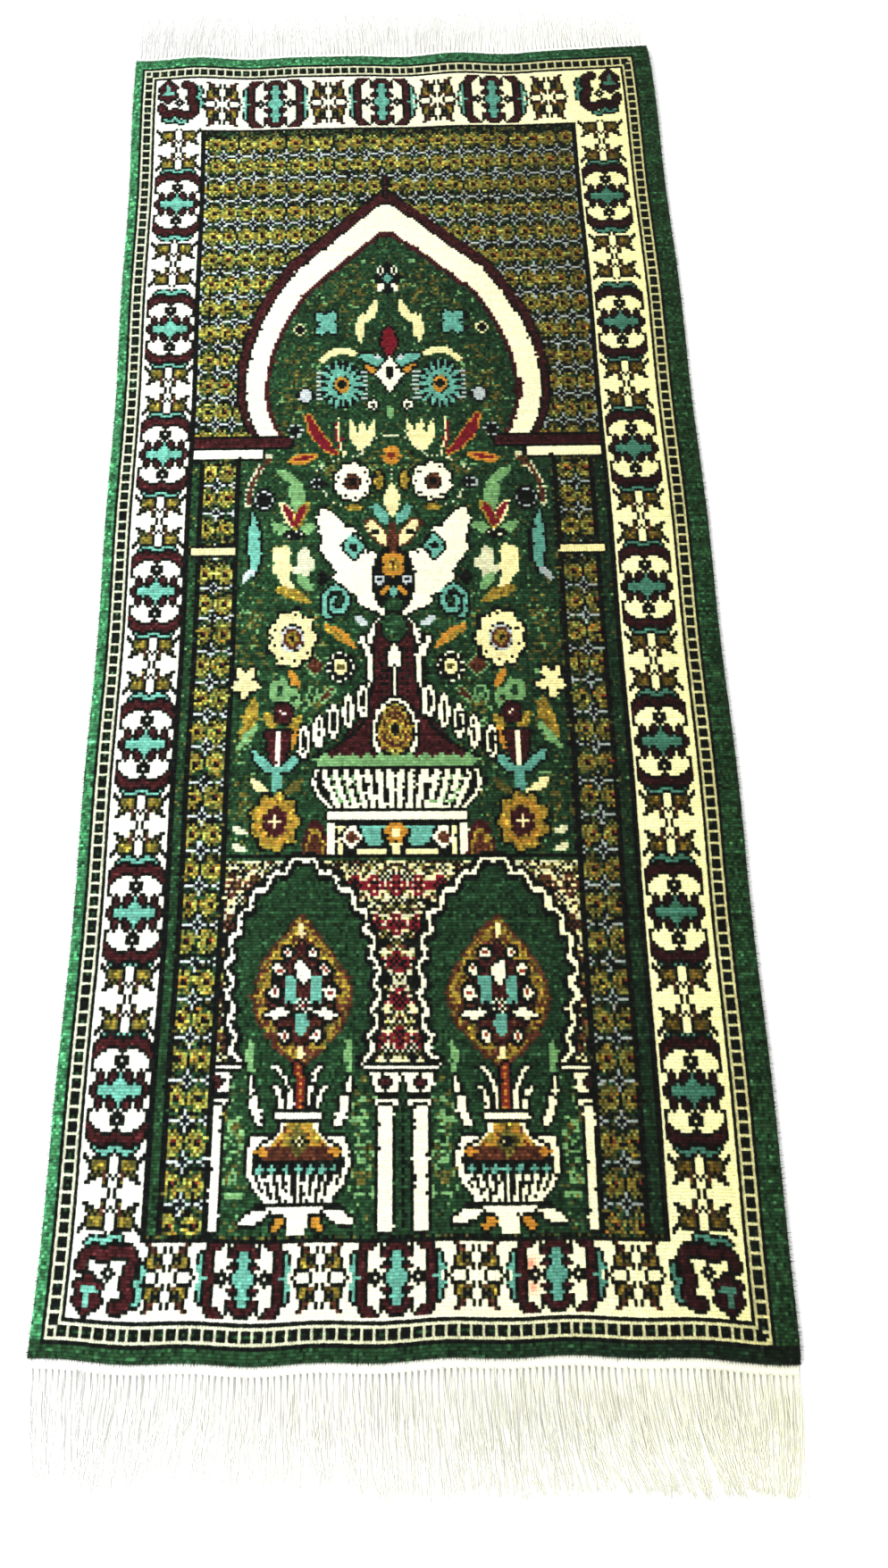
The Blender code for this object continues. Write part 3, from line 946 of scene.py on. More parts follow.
def small_vase():
    """The small vase in an arch, about its own middle: stem, leaves, jar, beads, tongues and foot."""
    m = 84.3
    line([(m, 427), (m, 441)], 2.6, RUST, BLACK)
    line([(m, 427), (m, 441)], 1.0, ORANGE, dash=2.4)
    for side in (-1, 1):
        for x0, y0, x1, y1, bend, width in (
            (7.6, 427.5, 3.2, 440, 1.6, 1.4),
            (8.6, 433.5, 6.4, 439.8, 0.8, 1.6),
            (17.0, 430.5, 15.0, 438, -0.6, 1.5),
            (15.4, 437.0, 13.2, 443.6, -0.8, 2.8),
        ):
            stem(m + side * x0, y0, m + side * x1, y1, side * bend, width, IVORY, BLACK)
    turned(m, ((448.0, 15.6), (454.0, 18.0), (461.0, 16.4), (467.2, 10.6)), IVORY, BLACK)
    turned(m, ((449.8, 13.6), (454.5, 15.8), (460.6, 14.4), (466.8, 9.4)), BLACK)
    turned(m, ((443.0, 5.8), (448.2, 7.6), (450.6, 12.4)), IVORY, BLACK)
    turned(m, ((443.0, 4.2), (447.6, 6.0), (452.4, 11.6)), GOLD)
    box(m - 12, m + 12, 451.4, 455.4, BROWN)
    block, _, _ = cells(np.array([(m - 10, 445), (m + 10, 455)]), 0)
    knot(block, chart[block] == GOLD, ORANGE, 0.3)
    knot(block, chart[block] == GOLD, BROWN, 0.22)
    fill(lozenge(m, 449.6, 4.0, 5.4), OLIVE)
    stamp(".kck. kckck .kck.", m, 449.6)
    box(m - 8, m + 8, 441.0, 443.0, IVORY, BLACK)
    for side in (-1, 1):
        fill(lozenge(m + side * 12.4, 452.6, 2.6, 1.6), ORANGE)
    for number in range(-3, 4):
        stamp(".t. ttt .t.", m + 4.2 * number, 457.2)
    for number in range(-4, 5):
        x = m + 3.3 * number
        line([(m + 0.96 * (x - m), 459.6), (m + 0.72 * (x - m), 466.4)], 1.5, IVORY)
    taper(m, 14.0, 15.0, 467.6, 469.8, IVORY, BLACK)
    for side in (-1, 1):
        leaf(m + side * 19.0, 472.6, m + side * 8.6, 469.0, 3.6, yarn=IVORY, edge=BLACK)
        leaf(m + side * 8.8, 474.8, m + side * 4.2, 470.8, 3.0, yarn=ORANGE, edge=BLACK)
    taper(m, 3.6, 3.0, 469.4, 475.6, IVORY)


def columns():
    """The ivory columns between and beside the arches, with their capitals."""
    box(110, HALF_END, 428.6, FIELD_FRONT, GREEN)
    for x, half in ((113.9, 2.6), (55.6, 2.0)):
        taper(x, 5.2, 4.0, 429.2, 435.4, IVORY, BLACK)
        flower(x, 432, 2.6, 2.6, 4, (1.0, BLACK), (0.6, MAROON))
        box(x - 4.2, x + 4.2, 436.6, 438.6, IVORY, BLACK)
        box(x - half, x + half, 439.4, 475.4, IVORY, BLACK)
    line([(AXIS, 439), (AXIS, 475)], 1.0, BLACK, dash=3)


# ---- the whole field ----
# The repeat above the niche: column and row of its first whole floret, and its pitch
FIRST_FLORET = (41.4, 50.2)
FLORET_PITCH = (7.35, 12.15)
AXIS_DRIFT = (380, 430, 1.5)  # the axis leans right between these rows, by this many columns
STRETCH = (1.047, 1.010)  # the field's right half is this much wider than its left, back and front
PILLAR_AXIS = 121.5
PILLAR_TOP = 205


def mirror_field():
    """Copy the field's left half onto its right half, about an axis that leans to the right.

    The niche and all below it are mirrored. The repeat above the niche runs on
    as it is.
    """
    drawn = chart.copy()
    rows, columns = slice(FIELD_BACK + 1, FIELD_FRONT), slice(FIELD_LEFT, FIELD_RIGHT + 1)
    row, column = np.mgrid[rows, columns]
    lean_by = np.clip((row - AXIS_DRIFT[0]) / (AXIS_DRIFT[1] - AXIS_DRIFT[0]), 0, 1)
    axis = AXIS + AXIS_DRIFT[2] * lean_by
    stretch = STRETCH[0] + (STRETCH[1] - STRETCH[0]) * lean_by
    off = column + 0.5 - axis
    source = np.where(off < 0, column - np.round(axis - AXIS), np.round(AXIS - off / stretch - 0.5))
    source = np.maximum(source, FIELD_LEFT).astype(int)
    mirrored = drawn[row, source]
    _, _, tip, widest, half, foot_half = NICHE_BANDS[0]
    arch_rows, arch_reach = pointed_arch(tip, widest, NICHE_FOOT, half, foot_half, NICHE_POWER, NICHE_HOLLOW)
    reach = np.interp(row, arch_rows, arch_reach) * stretch + 1.0
    above = (row < NICHE_FOOT - 2) & ((off > reach) | (row < tip + 1.5))
    chart[rows, columns] = np.where(above, drawn[row, column], mirrored)


def pillars():
    """The plain stripe and the floret pillar at each side, with their capital bars."""
    floret_rows = np.r_[210.6, 222.4, 234.6, np.arange(253.6, FIELD_FRONT, 12.25)]
    for side in (-1, 1):

        def col(c):
            return c if side < 0 else 2 * PILLAR_AXIS - c

        low, high = sorted((int(col(41)), int(col(56))))
        floret_columns = sorted(col(c) for c in (36.4, 44.0, 51.4, 58.6))
        repeat_ground(low, high, PILLAR_TOP, FIELD_FRONT, floret_columns, floret_rows)
        box(*sorted((col(FIELD_LEFT), col(41))), PILLAR_TOP + 2, FIELD_FRONT, GREEN)
        line([(col(41), PILLAR_TOP + 2), (col(41), FIELD_FRONT)], 1.2, BLACK)
        line([(col(56.2), PILLAR_TOP), (col(56.2), FIELD_FRONT)], 1.6, BLACK)
        line([(col(37), PILLAR_TOP + 1), (col(57), PILLAR_TOP + 1)], 1.0, ICE, dash=2.4)
        box(*sorted((col(38), col(56.4))), 243, 246.4, CREAM, BLACK)


def field_line():
    """The black line round the field."""
    left, right = FIELD_LEFT, FIELD_RIGHT + 1
    back, front = FIELD_BACK + 0.5, FIELD_FRONT + 1.5
    line([(left, back), (right, back), (right, front), (left, front), (left, back)], 1.2, BLACK)


def flecked(yarn, fleck, share):
    """Tie a share of a yarn's knots behind the arches in another one, as old wool fades unevenly."""
    back = chart[:ARCH[0]]
    back[(back == yarn) & (chance.random(back.shape) < share)] = fleck


def ragged(share):
    """Swap a share of the field's knots for the one beside them, as a weaver's hand does."""
    c0, c1, r0, r1 = FRAMES["field"]
    step = np.where(chance.random(chart.shape) < 0.5, -1, 1)
    column = np.clip(np.arange(DRAWN) + step, 0, DRAWN - 1)
    beside = np.take_along_axis(chart, column, axis=1)
    swap = np.zeros(chart.shape, bool)
    swap[r0 + 2:r1 - 1, c0 + 2:c1 - 1] = chance.random((r1 - r0 - 3, c1 - c0 - 3)) < share
    chart[swap] = beside[swap]


def knot_chart():
    """Knot the whole design, outermost first, and return the part that the cloth keeps."""
    borders()
    floret_columns = np.arange(FIRST_FLORET[0] - FLORET_PITCH[0], 215, FLORET_PITCH[0])
    floret_rows = np.arange(FIRST_FLORET[1], 200, FLORET_PITCH[1])
    repeat_ground(FIELD_LEFT, FIELD_RIGHT + 1, FIELD_BACK, FIELD_FRONT + 1, floret_columns, floret_rows)
    niche()
    niche_flowers()
    garden()
    tall_vase()
    arcade()
    line([(WALL_LEFT, VASE_FOOT + 0.6), (HALF_END + 0.5, VASE_FOOT + 0.6)], 1.6, BLACK)
    line([(WALL_LEFT + 1, VASE_FOOT + 2), (HALF_END + 0.5, VASE_FOOT + 2)], 1.0, CREAM)
    mirror_field()
    pillars()
    field_line()
    ragged(0.07)
    flecked(GREEN, OLIVE, 0.035)
    flecked(GREEN, MINT, 0.012)
    return chart[:, TRIM:TRIM + KNOTS]


# ---- the cloth ----


def curve_through(table, column, share):
    """Smooth curve through one column of a table whose first column is the share.

    Between two rows it is the cubic whose slopes there are those of the chord
    from the row before to the row after.
    """
    marks = np.array([row[0] for row in table])
    values = np.array([row[column] for row in table])
    slopes = np.gradient(values, marks)
    share = np.clip(share, 0.0, 1.0)
    cell = np.clip(np.searchsorted(marks, share, side="right") - 1, 0, len(marks) - 2)
    step = marks[cell + 1] - marks[cell]
    t = (share - marks[cell]) / step
    rise = t * t * (3.0 - 2.0 * t)
    start_slope = t * (1.0 - t) ** 2
    end_slope = t * t * (t - 1.0)
    middle = values[cell] * (1.0 - rise) + values[cell + 1] * rise
    return middle + step * (slopes[cell] * start_slope + slopes[cell + 1] * end_slope)


def lie(across, along):
    """Where a point of the cloth lies, from its shares across and along: x, y and lift.

    A rectangle that leans, with slanting ends and a front that spreads. Each
    long edge adds a bow and a ripple, in proportion to the share across: the
    left bow is a sine and the right one a power of a sine. The ends add their
    waves and lifts, which are sines too. All that an end adds fades inwards
    with the square of what is left of END_REACH.
    """
    front = np.maximum(0.0, 1.0 - along * PILE_LENGTH / END_REACH) ** 2
    back = np.maximum(0.0, 1.0 - (1.0 - along) * PILE_LENGTH / END_REACH) ** 2
    bow = np.clip(np.sin(np.pi * along), 0.0, 1.0)
    ripple = SIDE_RIPPLE * np.sin(2.0 * np.pi * SIDE_RIPPLES * along)
    x = (across - 0.5) * (PILE_WIDTH + 2.0 * FRONT_FLARE * front) + (0.5 - along) * LEAN
    x += (1.0 - across) * (LEFT_BOW * bow + ripple)
    x += across * (RIGHT_BOW * bow**RIGHT_POWER - ripple)

    arch = np.sin(np.pi * across)
    ripple = END_RIPPLE * np.sin(2.0 * np.pi * END_RIPPLES * across)
    y = (along - 0.5) * PILE_LENGTH
    y += (0.5 - across) * (FRONT_SLANT * (1.0 - along) + BACK_SLANT * along)
    y += front * (FRONT_RISE * arch - FRONT_WAVE * np.sin(2.0 * np.pi * across) + ripple)
    y -= back * (BACK_HOLLOW * arch + ripple)

    lift = front * FRONT_LIFT * np.sin(np.pi * FRONT_LIFTS * across) ** 2
    lift += back * BACK_LIFT * np.sin(np.pi * BACK_LIFTS * across) ** 2
    lift += back * CORNER_CURL * across**CURL_POWER
    return x, y, lift


def cloth_shift():
    """How far the cloth is moved so that it fills the box of its solid."""
    across, along = np.meshgrid(np.linspace(0, 1, 60), np.linspace(0, 1, 140))
    x, y, _ = lie(across, along)
    low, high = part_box("rug_pile")
    return 0.5 * (low[0] + high[0] - x.min() - x.max()), 0.5 * (low[1] + high[1] - y.min() - y.max())


SHIFT_X, SHIFT_Y = cloth_shift()


def place(across, along):
    """The same as lie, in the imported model's frame."""
    x, y, lift = lie(across, along)
    return x + SHIFT_X, y + SHIFT_Y, lift


def linear(tone):
    """Linear light from an sRGB colour of 0 to 255: its 2.4 power above the toe."""
    tone = np.asarray(tone, float) / 255.0
    return np.where(tone < 0.04045, tone / 12.92, ((tone + 0.055) / 1.055) ** 2.4)


DYE_AND_LIGHT_RUN = 1.5  # power of the share across with which the dye and the painted light from the left run
ROW_RUN = 0.04  # how far a whole row's dye lies off that
ROW_TONE = 0.4  # how much a whole row differs in tone, as a share of what its knots do
PAINTED_GLINTS = (0.08, 2.2)  # share of the dark and middling knots given a painted highlight as a glint, and how much lighter it makes them
PAINTED_DEEP_SHADE = (0.14, 0.45)  # share of them given painted shade as if they lay deep, and what that leaves of their light
# Stains: row and column of the middle, how far they spread in rows and columns, tint and depth
STAINS = (
    (484.2, 160.6, 2.2, 2.4, (1.0, 0.16, 0.10), 0.95),
    (490.4, 161.0, 1.8, 2.4, (1.0, 0.24, 0.18), 0.9),
)


def knot_colours(knots):
    """Linear colour of each knot: its yarn's dye, painted light and shade, and its own liveliness.

    The colour runs from left to right with a power of the share across, partly
    as the dye differs and partly as painted light, bright on the left and in
    shade on the right. Each row is a little lighter or darker, and so is each
    knot. Some knots of the livelier yarns get a painted highlight as a glint,
    and some get painted shade as if they lay deep. A stain tints the knots round
    it and fades as a bell-shaped curve does.
    """
    left = linear([tone for _, tone, _, _ in YARN_TONES])
    right = linear([tone for _, _, tone, _ in YARN_TONES])
    lively = np.array([amount for _, _, _, amount in YARN_TONES])
    across = (np.arange(KNOTS) + 0.5) / KNOTS
    # the dye's run together with painted light from the left: bright there, in shade on the right
    run = across[None, :] ** DYE_AND_LIGHT_RUN + ROW_RUN * chance.standard_normal((ROWS, 1))
    run = np.clip(run, 0, 1)[..., None]
    colour = left[knots] * (1 - run) + right[knots] * run
    tone = chance.standard_normal(knots.shape) + ROW_TONE * chance.standard_normal((ROWS, 1))
    tone = np.exp(lively[knots] * tone)
    # painted highlights on some knots, painted shade on others
    for share, gain in (PAINTED_GLINTS, PAINTED_DEEP_SHADE):
        chosen = (lively[knots] > 0.2) & (chance.random(knots.shape) < share)
        tone *= np.where(chosen, gain, 1.0)
    colour = colour * tone[..., None]
    for row, column, rows, columns, tint, depth in STAINS:
        r, c = np.arange(ROWS)[:, None], np.arange(KNOTS)[None, :]
        spread = np.exp(-((r - row) / rows) ** 2 - ((c - column) / columns) ** 2)
        spread = depth * spread * chance.uniform(0.6, 1.0, knots.shape)
        colour *= 1 - spread[..., None] * (1 - np.array(tint))
    return np.clip(colour, 0, 1)


GROOVE = 0.0009  # depth between knots
TUFT = 0.0004  # how much tufts differ in height
SWAY = 0.00045  # how far tufts lean out of line
LEAK = 0.30  # power of the neighbour's colour in the product at a knot's edge
PAINTED_GROOVE_SHADES = (0.80, 0.42, 0.80, 0.42)  # painted shade: how dark a knot's left, front, right and back edge is painted, as the grooves between knots lie in shade
GAP_LIGHT = 0.6  # how much of that painted shade is taken off light yarns, for the light thrown about between white tufts
RIM_TUFTS = 4  # loose wisps of wool on the rug's outline, for each knot there
WISP_RADIUS = 0.00034
WISP_ROOT = 0.0008  # how far inside the outline a wisp starts
WISP_REACH = (0.0006, 0.0042)  # how far the shortest and the longest stand out of it
WISP_CHANCE = (3.0, 0.0006)  # shape and scale of the gamma chance of how far each does
WISP_LEVEL = (0.30, 0.62)  # shares of the pile's thickness between which they start
WISP_STRAY = (0.0004, 0.0009)  # how much root and tip stray along the outline
WISP_LOWEST = 0.0004  # height above the floor under which no tip hangs
# The flat layout for the finish: where a face starts upwards and how tall it is, and the strip of walls
TOP_LAYOUT = (0.505, 0.49)
UNDER_LAYOUT = (0.005, 0.47)
STRIP = (0.482, 0.498)


def pile_height(across, along):
    """Height above the underside: it rises from the cloth's edge as a quarter of an ellipse."""
    side = np.minimum(across, 1.0 - across) * PILE_WIDTH
    end = np.minimum(along, 1.0 - along) * PILE_LENGTH
    reach = np.clip(np.minimum(side, end) / EDGE_ROUND, 0.0, 1.0)
    return PILE_THICKNESS * (EDGE_HEIGHT + (1.0 - EDGE_HEIGHT) * np.sqrt(1.0 - (1.0 - reach) ** 2))


def pile_points(across, along, spread):
    """Points of one length: the corners between knots, the knots' tufts, and the underside.

    A corner lies a groove's depth below the pile's height, and a tuft a little
    above it and forward. Both stray, but corners on a cut between two lengths
    keep to the plain grid. The underside is flat and drawn in by the undercut.
    """
    free = np.ones(across.shape)
    free[0] = free[-1] = 0.0
    jitter = spread.uniform(-1, 1, (3, *across.shape)) * free
    x, y, lift = place(across, along)
    inner = (across > 0) & (across < 1) & (along > 0) & (along < 1)
    z = lift + pile_height(across, along) - GROOVE * inner + 0.4 * TUFT * jitter[2] * inner
    corners = np.stack([x + 0.6 * SWAY * jitter[0], y + 0.6 * SWAY * jitter[1], z], axis=-1)

    mid_across, mid_along = across[:-1, :-1] + 0.5 / KNOTS, along[:-1, :-1] - 0.5 / ROWS
    x, y, lift = place(mid_across, mid_along)
    jitter = spread.uniform(-1, 1, (3, *x.shape))
    z = lift + pile_height(mid_across, mid_along) + 0.35 * TUFT + TUFT * jitter[2]
    tufts = np.stack([x + SWAY * jitter[0], y + SWAY * jitter[1] - 0.3 * SWAY, z], axis=-1)

    tuck_across = np.clip(across, EDGE_UNDERCUT / PILE_WIDTH, 1.0 - EDGE_UNDERCUT / PILE_WIDTH)
    tuck_along = np.clip(along, EDGE_UNDERCUT / PILE_LENGTH, 1.0 - EDGE_UNDERCUT / PILE_LENGTH)
    under = np.stack(place(tuck_across, tuck_along), axis=-1)
    return np.concatenate([part.reshape(-1, 3) for part in (corners, tufts, under)])


def outermost(grid):
    """The outermost cells of a grid, counter-clockwise seen from above."""
    return np.concatenate([grid[:, 0], grid[-1, 1:], grid[-2::-1, -1], grid[0, -2:0:-1]])


def pile_faces(rows):
    """Triangles of one length, top, underside and wall, and the wall's upper and lower rim.

    Every knot has a fan of four round its tuft and two below. The wall is a
    ring of four-sided faces, each cut in two.
    """
    number = np.arange((rows + 1) * (KNOTS + 1)).reshape(rows + 1, KNOTS + 1)
    tuft = number.size + np.arange(rows * KNOTS).reshape(rows, KNOTS)
    below = number + number.size + tuft.size
    a, b, d, e = number[:-1, :-1], number[:-1, 1:], number[1:, :-1], number[1:, 1:]
    top = np.stack([np.stack([tuft, p, q], -1) for p, q in ((a, d), (d, e), (e, b), (b, a))], axis=2)
    a, b, d, e = below[:-1, :-1], below[:-1, 1:], below[1:, :-1], below[1:, 1:]
    under = np.stack([np.stack([a, b, e], -1), np.stack([a, e, d], -1)], axis=2)
    high, low = outermost(number), outermost(below)
    next_high, next_low = np.roll(high, -1), np.roll(low, -1)
    wall = np.concatenate([np.stack([high, low, next_low], -1), np.stack([high, next_low, next_high], -1)])
    return np.concatenate([top.reshape(-1, 3), under.reshape(-1, 3), wall]), high, low


def pile_colours(colours, r0, r1):
    """Colour of each corner of each triangle of one length.

    A knot shows its own colour in its middle. At its edges it is a power of its
    own times a power of its neighbour's, darkened by painted shade for the
    groove on that side, less so for light yarns. The underside and the wall have
    the knots' own colours.
    """
    rows = r1 - r0
    own = colours[r0:r1]
    padded = np.pad(colours, ((1, 1), (1, 1), (0, 0)), mode="edge")[r0:r1 + 2]
    neighbours = (padded[1:-1, :-2], padded[2:, 1:-1], padded[1:-1, 2:], padded[:-2, 1:-1])
    top = np.empty((rows, KNOTS, 4, 3, 3))
    # painted shade in the grooves between knots, lighter between light tufts
    for side, (beside, shade) in enumerate(zip(neighbours, PAINTED_GROOVE_SHADES)):
        lit = shade ** (1 - GAP_LIGHT * own.mean(axis=2, keepdims=True))
        edge = lit * own ** (1 - LEAK) * np.maximum(beside, 0.002) ** LEAK
        top[:, :, side, 0] = own
        top[:, :, side, 1:] = edge[:, :, None]
    under = np.repeat(own.reshape(-1, 3), 6, axis=0)
    ring = outermost(np.pad(own, ((0, 1), (0, 1), (0, 0)), mode="edge"))
    wall = np.repeat(np.concatenate([ring, ring]), 3, axis=0)
    return np.concatenate([top.reshape(-1, 3), under, wall])


def pile_layout(rows, triangles, ring):
    """Place in the flat layout of each corner of each triangle of one length.

    Its top lies above, its underside below, and its wall along a strip between
    them, where ring is the number of the wall's four-sided faces.
    """
    u, v = np.meshgrid(np.arange(KNOTS + 1) / KNOTS, (rows - np.arange(rows + 1)) / rows)
    mid_u, mid_v = u[:-1, :-1] + 0.5 / KNOTS, v[1:, :-1] + 0.5 / rows
    corners = np.stack([u, TOP_LAYOUT[0] + TOP_LAYOUT[1] * v], -1)
    tufts = np.stack([mid_u, TOP_LAYOUT[0] + TOP_LAYOUT[1] * mid_v], -1)
    under = np.stack([u, UNDER_LAYOUT[0] + UNDER_LAYOUT[1] * v], -1)
    uv = np.concatenate([part.reshape(-1, 2) for part in (corners, tufts, under)])[triangles]
    strip = np.arange(ring + 1) / ring
    here, after = strip[:-1], strip[1:]
    low, high = np.full((2, ring), np.array(STRIP)[:, None])
    uv[-2 * ring:-ring] = np.stack([here, high, here, low, after, low], -1).reshape(-1, 3, 2)
    uv[-ring:] = np.stack([here, high, after, low, after, high], -1).reshape(-1, 3, 2)
    return uv.reshape(-1, 2)


def rug_length(name, r0, r1, colours, material):
    """One length of the rug, from chart row r0 to r1, as a closed mesh with wisps on its outline."""
    spread = np.random.default_rng(r0 + 7)
    across, along = np.meshgrid(np.arange(KNOTS + 1) / KNOTS, 1.0 - np.arange(r0, r1 + 1) / ROWS)
    points = pile_points(across, along, spread)
    triangles, high, low = pile_faces(r1 - r0)
    wisps, wisp_triangles, wisp_colours, wisp_uv = rim_tufts(r0, r1, colours[r0:r1], spread)
    every = np.concatenate([pile_colours(colours, r0, r1), wisp_colours])
    uv = np.concatenate([pile_layout(r1 - r0, triangles, len(high)), wisp_uv])
    triangles = np.concatenate([triangles, wisp_triangles + len(points)])
    return make_piece(name, np.concatenate([points, wisps]), triangles, material, every, uv, (high, low))


def rim_tufts(r0, r1, own, spread):
    """Thin three-sided wisps that stand out of the rug's outline along one of its lengths.

    Each is a small triangle inside the outline that runs to one point outside
    it, as far out as a gamma-shaped chance says. It gives points, triangles, and
    a colour and a place in the flat layout for each corner.
    """
    along = 1.0 - (r0 + np.arange(0.5 / RIM_TUFTS, r1 - r0, 1.0 / RIM_TUFTS)) / ROWS
    across = np.arange(0.5 / RIM_TUFTS, KNOTS, 1.0 / RIM_TUFTS) / KNOTS
    edges = [(np.zeros_like(along), along, -1, 0), (np.ones_like(along), along, 1, 0)]
    if r0 == 0:
        edges.append((across, np.ones_like(across), 0, 1))
    if r1 == ROWS:
        edges.append((across, np.zeros_like(across), 0, -1))
    u = np.concatenate([edge[0] for edge in edges])
    v = np.concatenate([edge[1] for edge in edges])
    way = np.concatenate([np.tile((edge[2], edge[3]), (len(edge[0]), 1)) for edge in edges]).astype(float)
    count = len(u)
    x, y, lift = place(u, v)
    side = np.stack([-way[:, 1], way[:, 0]], axis=1)
    stray = WISP_STRAY[0] * spread.standard_normal((count, 1)) * side
    middle = np.stack([x, y], axis=1) - WISP_ROOT * way + stray
    level = lift + PILE_THICKNESS * spread.uniform(*WISP_LEVEL, count)
    reach = np.clip(spread.gamma(*WISP_CHANCE, count), *WISP_REACH)
    base = []
    for turn in 2 * np.pi * np.arange(3) / 3 + 0.5:
        base.append(np.c_[middle + WISP_RADIUS * np.cos(turn) * side, level + WISP_RADIUS * np.sin(turn)])
    out = way * (WISP_ROOT + reach)[:, None] + side * spread.normal(0, WISP_STRAY[1], (count, 1))
    top = np.maximum(level + reach * spread.uniform(-0.5, 0.9, count), WISP_LOWEST)
    points = np.stack([*base, np.c_[middle + out, top]], axis=1).reshape(-1, 3)
    number = 4 * np.arange(count)[:, None]
    faces = np.array([(0, 1, 3), (1, 2, 3), (2, 0, 3), (0, 2, 1)])
    triangles = outward(points, (number[:, None] + faces[None]).reshape(-1, 3))
    rows = r1 - r0
    down, right = (1.0 - v) * ROWS - r0, u * KNOTS
    row, column = np.clip(down.astype(int), 0, rows - 1), np.clip(right.astype(int), 0, KNOTS - 1)
    colour = own[row, column] * spread.uniform(0.7, 1.5, (count, 1))
    # its place in the flat layout is where the wall behind it lies on the strip
    ring = np.where(way[:, 0] < 0, down, 2 * rows + KNOTS - down)
    ring = np.where(way[:, 1] < 0, rows + right, np.where(way[:, 1] > 0, 2 * (rows + KNOTS) - right, ring))
    spot = np.stack([ring / (2 * (rows + KNOTS)), np.full(count, np.mean(STRIP))], axis=1)
    return points, triangles, np.repeat(np.clip(colour, 0, 1), 12, axis=0), np.repeat(spot, 12, axis=0)


def make_piece(name, points, triangles, material, colours, uv, sharp_rim=()):
    """A mesh object from arrays, with a colour and a flat layout for each corner of each triangle."""
    mesh = bpy.data.meshes.new(name)
    mesh.vertices.add(len(points))
    mesh.vertices.foreach_set("co", np.ascontiguousarray(points, np.float32).ravel())
    mesh.loops.add(3 * len(triangles))
    mesh.loops.foreach_set("vertex_index", triangles.astype(np.int32).ravel())
    mesh.polygons.add(len(triangles))
    mesh.polygons.foreach_set("loop_start", np.arange(0, 3 * len(triangles), 3, dtype=np.int32))
    mesh.polygons.foreach_set("use_smooth", np.ones(len(triangles), bool))
    mesh.update(calc_edges=True)
    layer = mesh.uv_layers.new(name="OFBake")
    layer.data.foreach_set("uv", np.ascontiguousarray(uv, np.float32).ravel())
    dye = mesh.color_attributes.new("yarn", "FLOAT_COLOR", "CORNER")
    dye.data.foreach_set("color", np.c_[colours, np.ones(len(colours))].astype(np.float32).ravel())
    if sharp_rim:
        pairs = np.empty(2 * len(mesh.edges), np.int32)
        mesh.edges.foreach_get("vertices", pairs)
        pairs = pairs.reshape(-1, 2)
        on_rim = np.zeros(len(points), np.int8)
        for level, rim in enumerate(sharp_rim):
            on_rim[rim] = level + 1
        both = (on_rim[pairs[:, 0]] == on_rim[pairs[:, 1]]) & (on_rim[pairs[:, 0]] > 0)
        sharp = mesh.attributes.new("sharp_edge", "BOOLEAN", "EDGE")
        sharp.data.foreach_set("value", both)
    mesh.validate()
    mesh.materials.append(material)
    piece = bpy.data.objects.new(name, mesh)
    bpy.context.scene.collection.objects.link(piece)
    return piece


# ---- bands and fringes ----
RIBS = 270
RIB_STEPS = 6  # columns of the band's mesh for each of its ribs
RIB_DEPTH = 0.26  # share of the band's thickness by which it sinks between ribs
# The band's section: share of the way from the pile to the fringe, and share of its thickness
BAND_SECTION = ((0.0, 0.0), (0.0, 0.55), (0.12, 0.92), (0.45, 1.0), (0.80, 0.90), (1.0, 0.55), (1.0, 0.0))
YARNS_IN_LOCK = 7
YARN_STEPS = 12
YARN_SIDES = 3
YARN_RADIUS = 0.00044
ROOT_SHARE = 0.82  # yarns leave the band this far across it
ROOT_RISE = 0.0016  # how much higher than the floor they leave it
ROOT_REACH = 0.10  # share of their length over which they come down
LOCK_HALF = (0.0013, 0.0020)  # a lock's half width at its root, and how much it opens by its tip
LOCK_STRAY = 0.0024  # how much the locks' tips stray from the table's drift
YARN_STRAY = 0.0026  # and the yarns' tips from their lock's
LOCK_UNEVEN = 0.003  # how much longer or shorter than the table's a lock may be
YARN_UNEVEN = 0.10  # share by which a yarn may be shorter than its lock
SLOW_WAVE = (0.0019, 2.2)  # a yarn's sideways swing at its tip, and how many half waves it makes
QUICK_WAVE = (0.0011, 5.2)
HUMP = 0.0011
THINNING = 0.45  # share of its radius that a yarn loses by its tip
TINT_STRAY = 0.05  # how much the yarns differ in tone
BAND_TONE = 0.94
# sRGB at the left and at the right, by end: -1 the front, 1 the back; the left is whiter partly as painted
# light from the left
COTTON = {
    -1: ((252, 252, 249), (237, 237, 214)),
    1: ((254, 254, 252), (252, 252, 244)),
}


def band(end):
    """The woven band along one end: points, triangles and shares across.

    Across the rug its top is a row of ribs, each as the size of a cosine leaves
    it. From the pile to the fringe it is a low crown.
    """
    shares = np.linspace(0.001, 0.999, RIBS * RIB_STEPS + 1)
    section = np.array(BAND_SECTION)
    x, y, lift = place(shares, np.full_like(shares, 0.0 if end < 0 else 1.0))
    rib = 1.0 - RIB_DEPTH * np.abs(np.cos(np.pi * RIBS * shares))
    out = SEAM + BAND_WIDTH * section[:, 0]
    weight = np.where(section[:, 1] > 0, rib[:, None], 1.0)
    z = lift[:, None] + BAND_THICKNESS * section[:, 1] * weight
    points = np.stack([x[:, None] + 0 * z, y[:, None] + end * out, z], axis=-1)
    wide = len(section)
    number = np.arange(points.shape[0] * wide).reshape(-1, wide)
    here, after = number[:-1], number[1:]
    ring = np.roll(np.arange(wide), -1)
    quads = np.stack([here, after, after[:, ring], here[:, ring]], axis=-1).reshape(-1, 4)
    triangles = [quads[:, [0, 1, 2]], quads[:, [0, 2, 3]]]
    for cap in (number[0], number[-1][::-1]):
        triangles.append(np.stack([np.full(wide - 2, cap[0]), cap[1:-1], cap[2:]], -1))
    return points.reshape(-1, 3), np.concatenate(triangles), np.repeat(shares, wide)


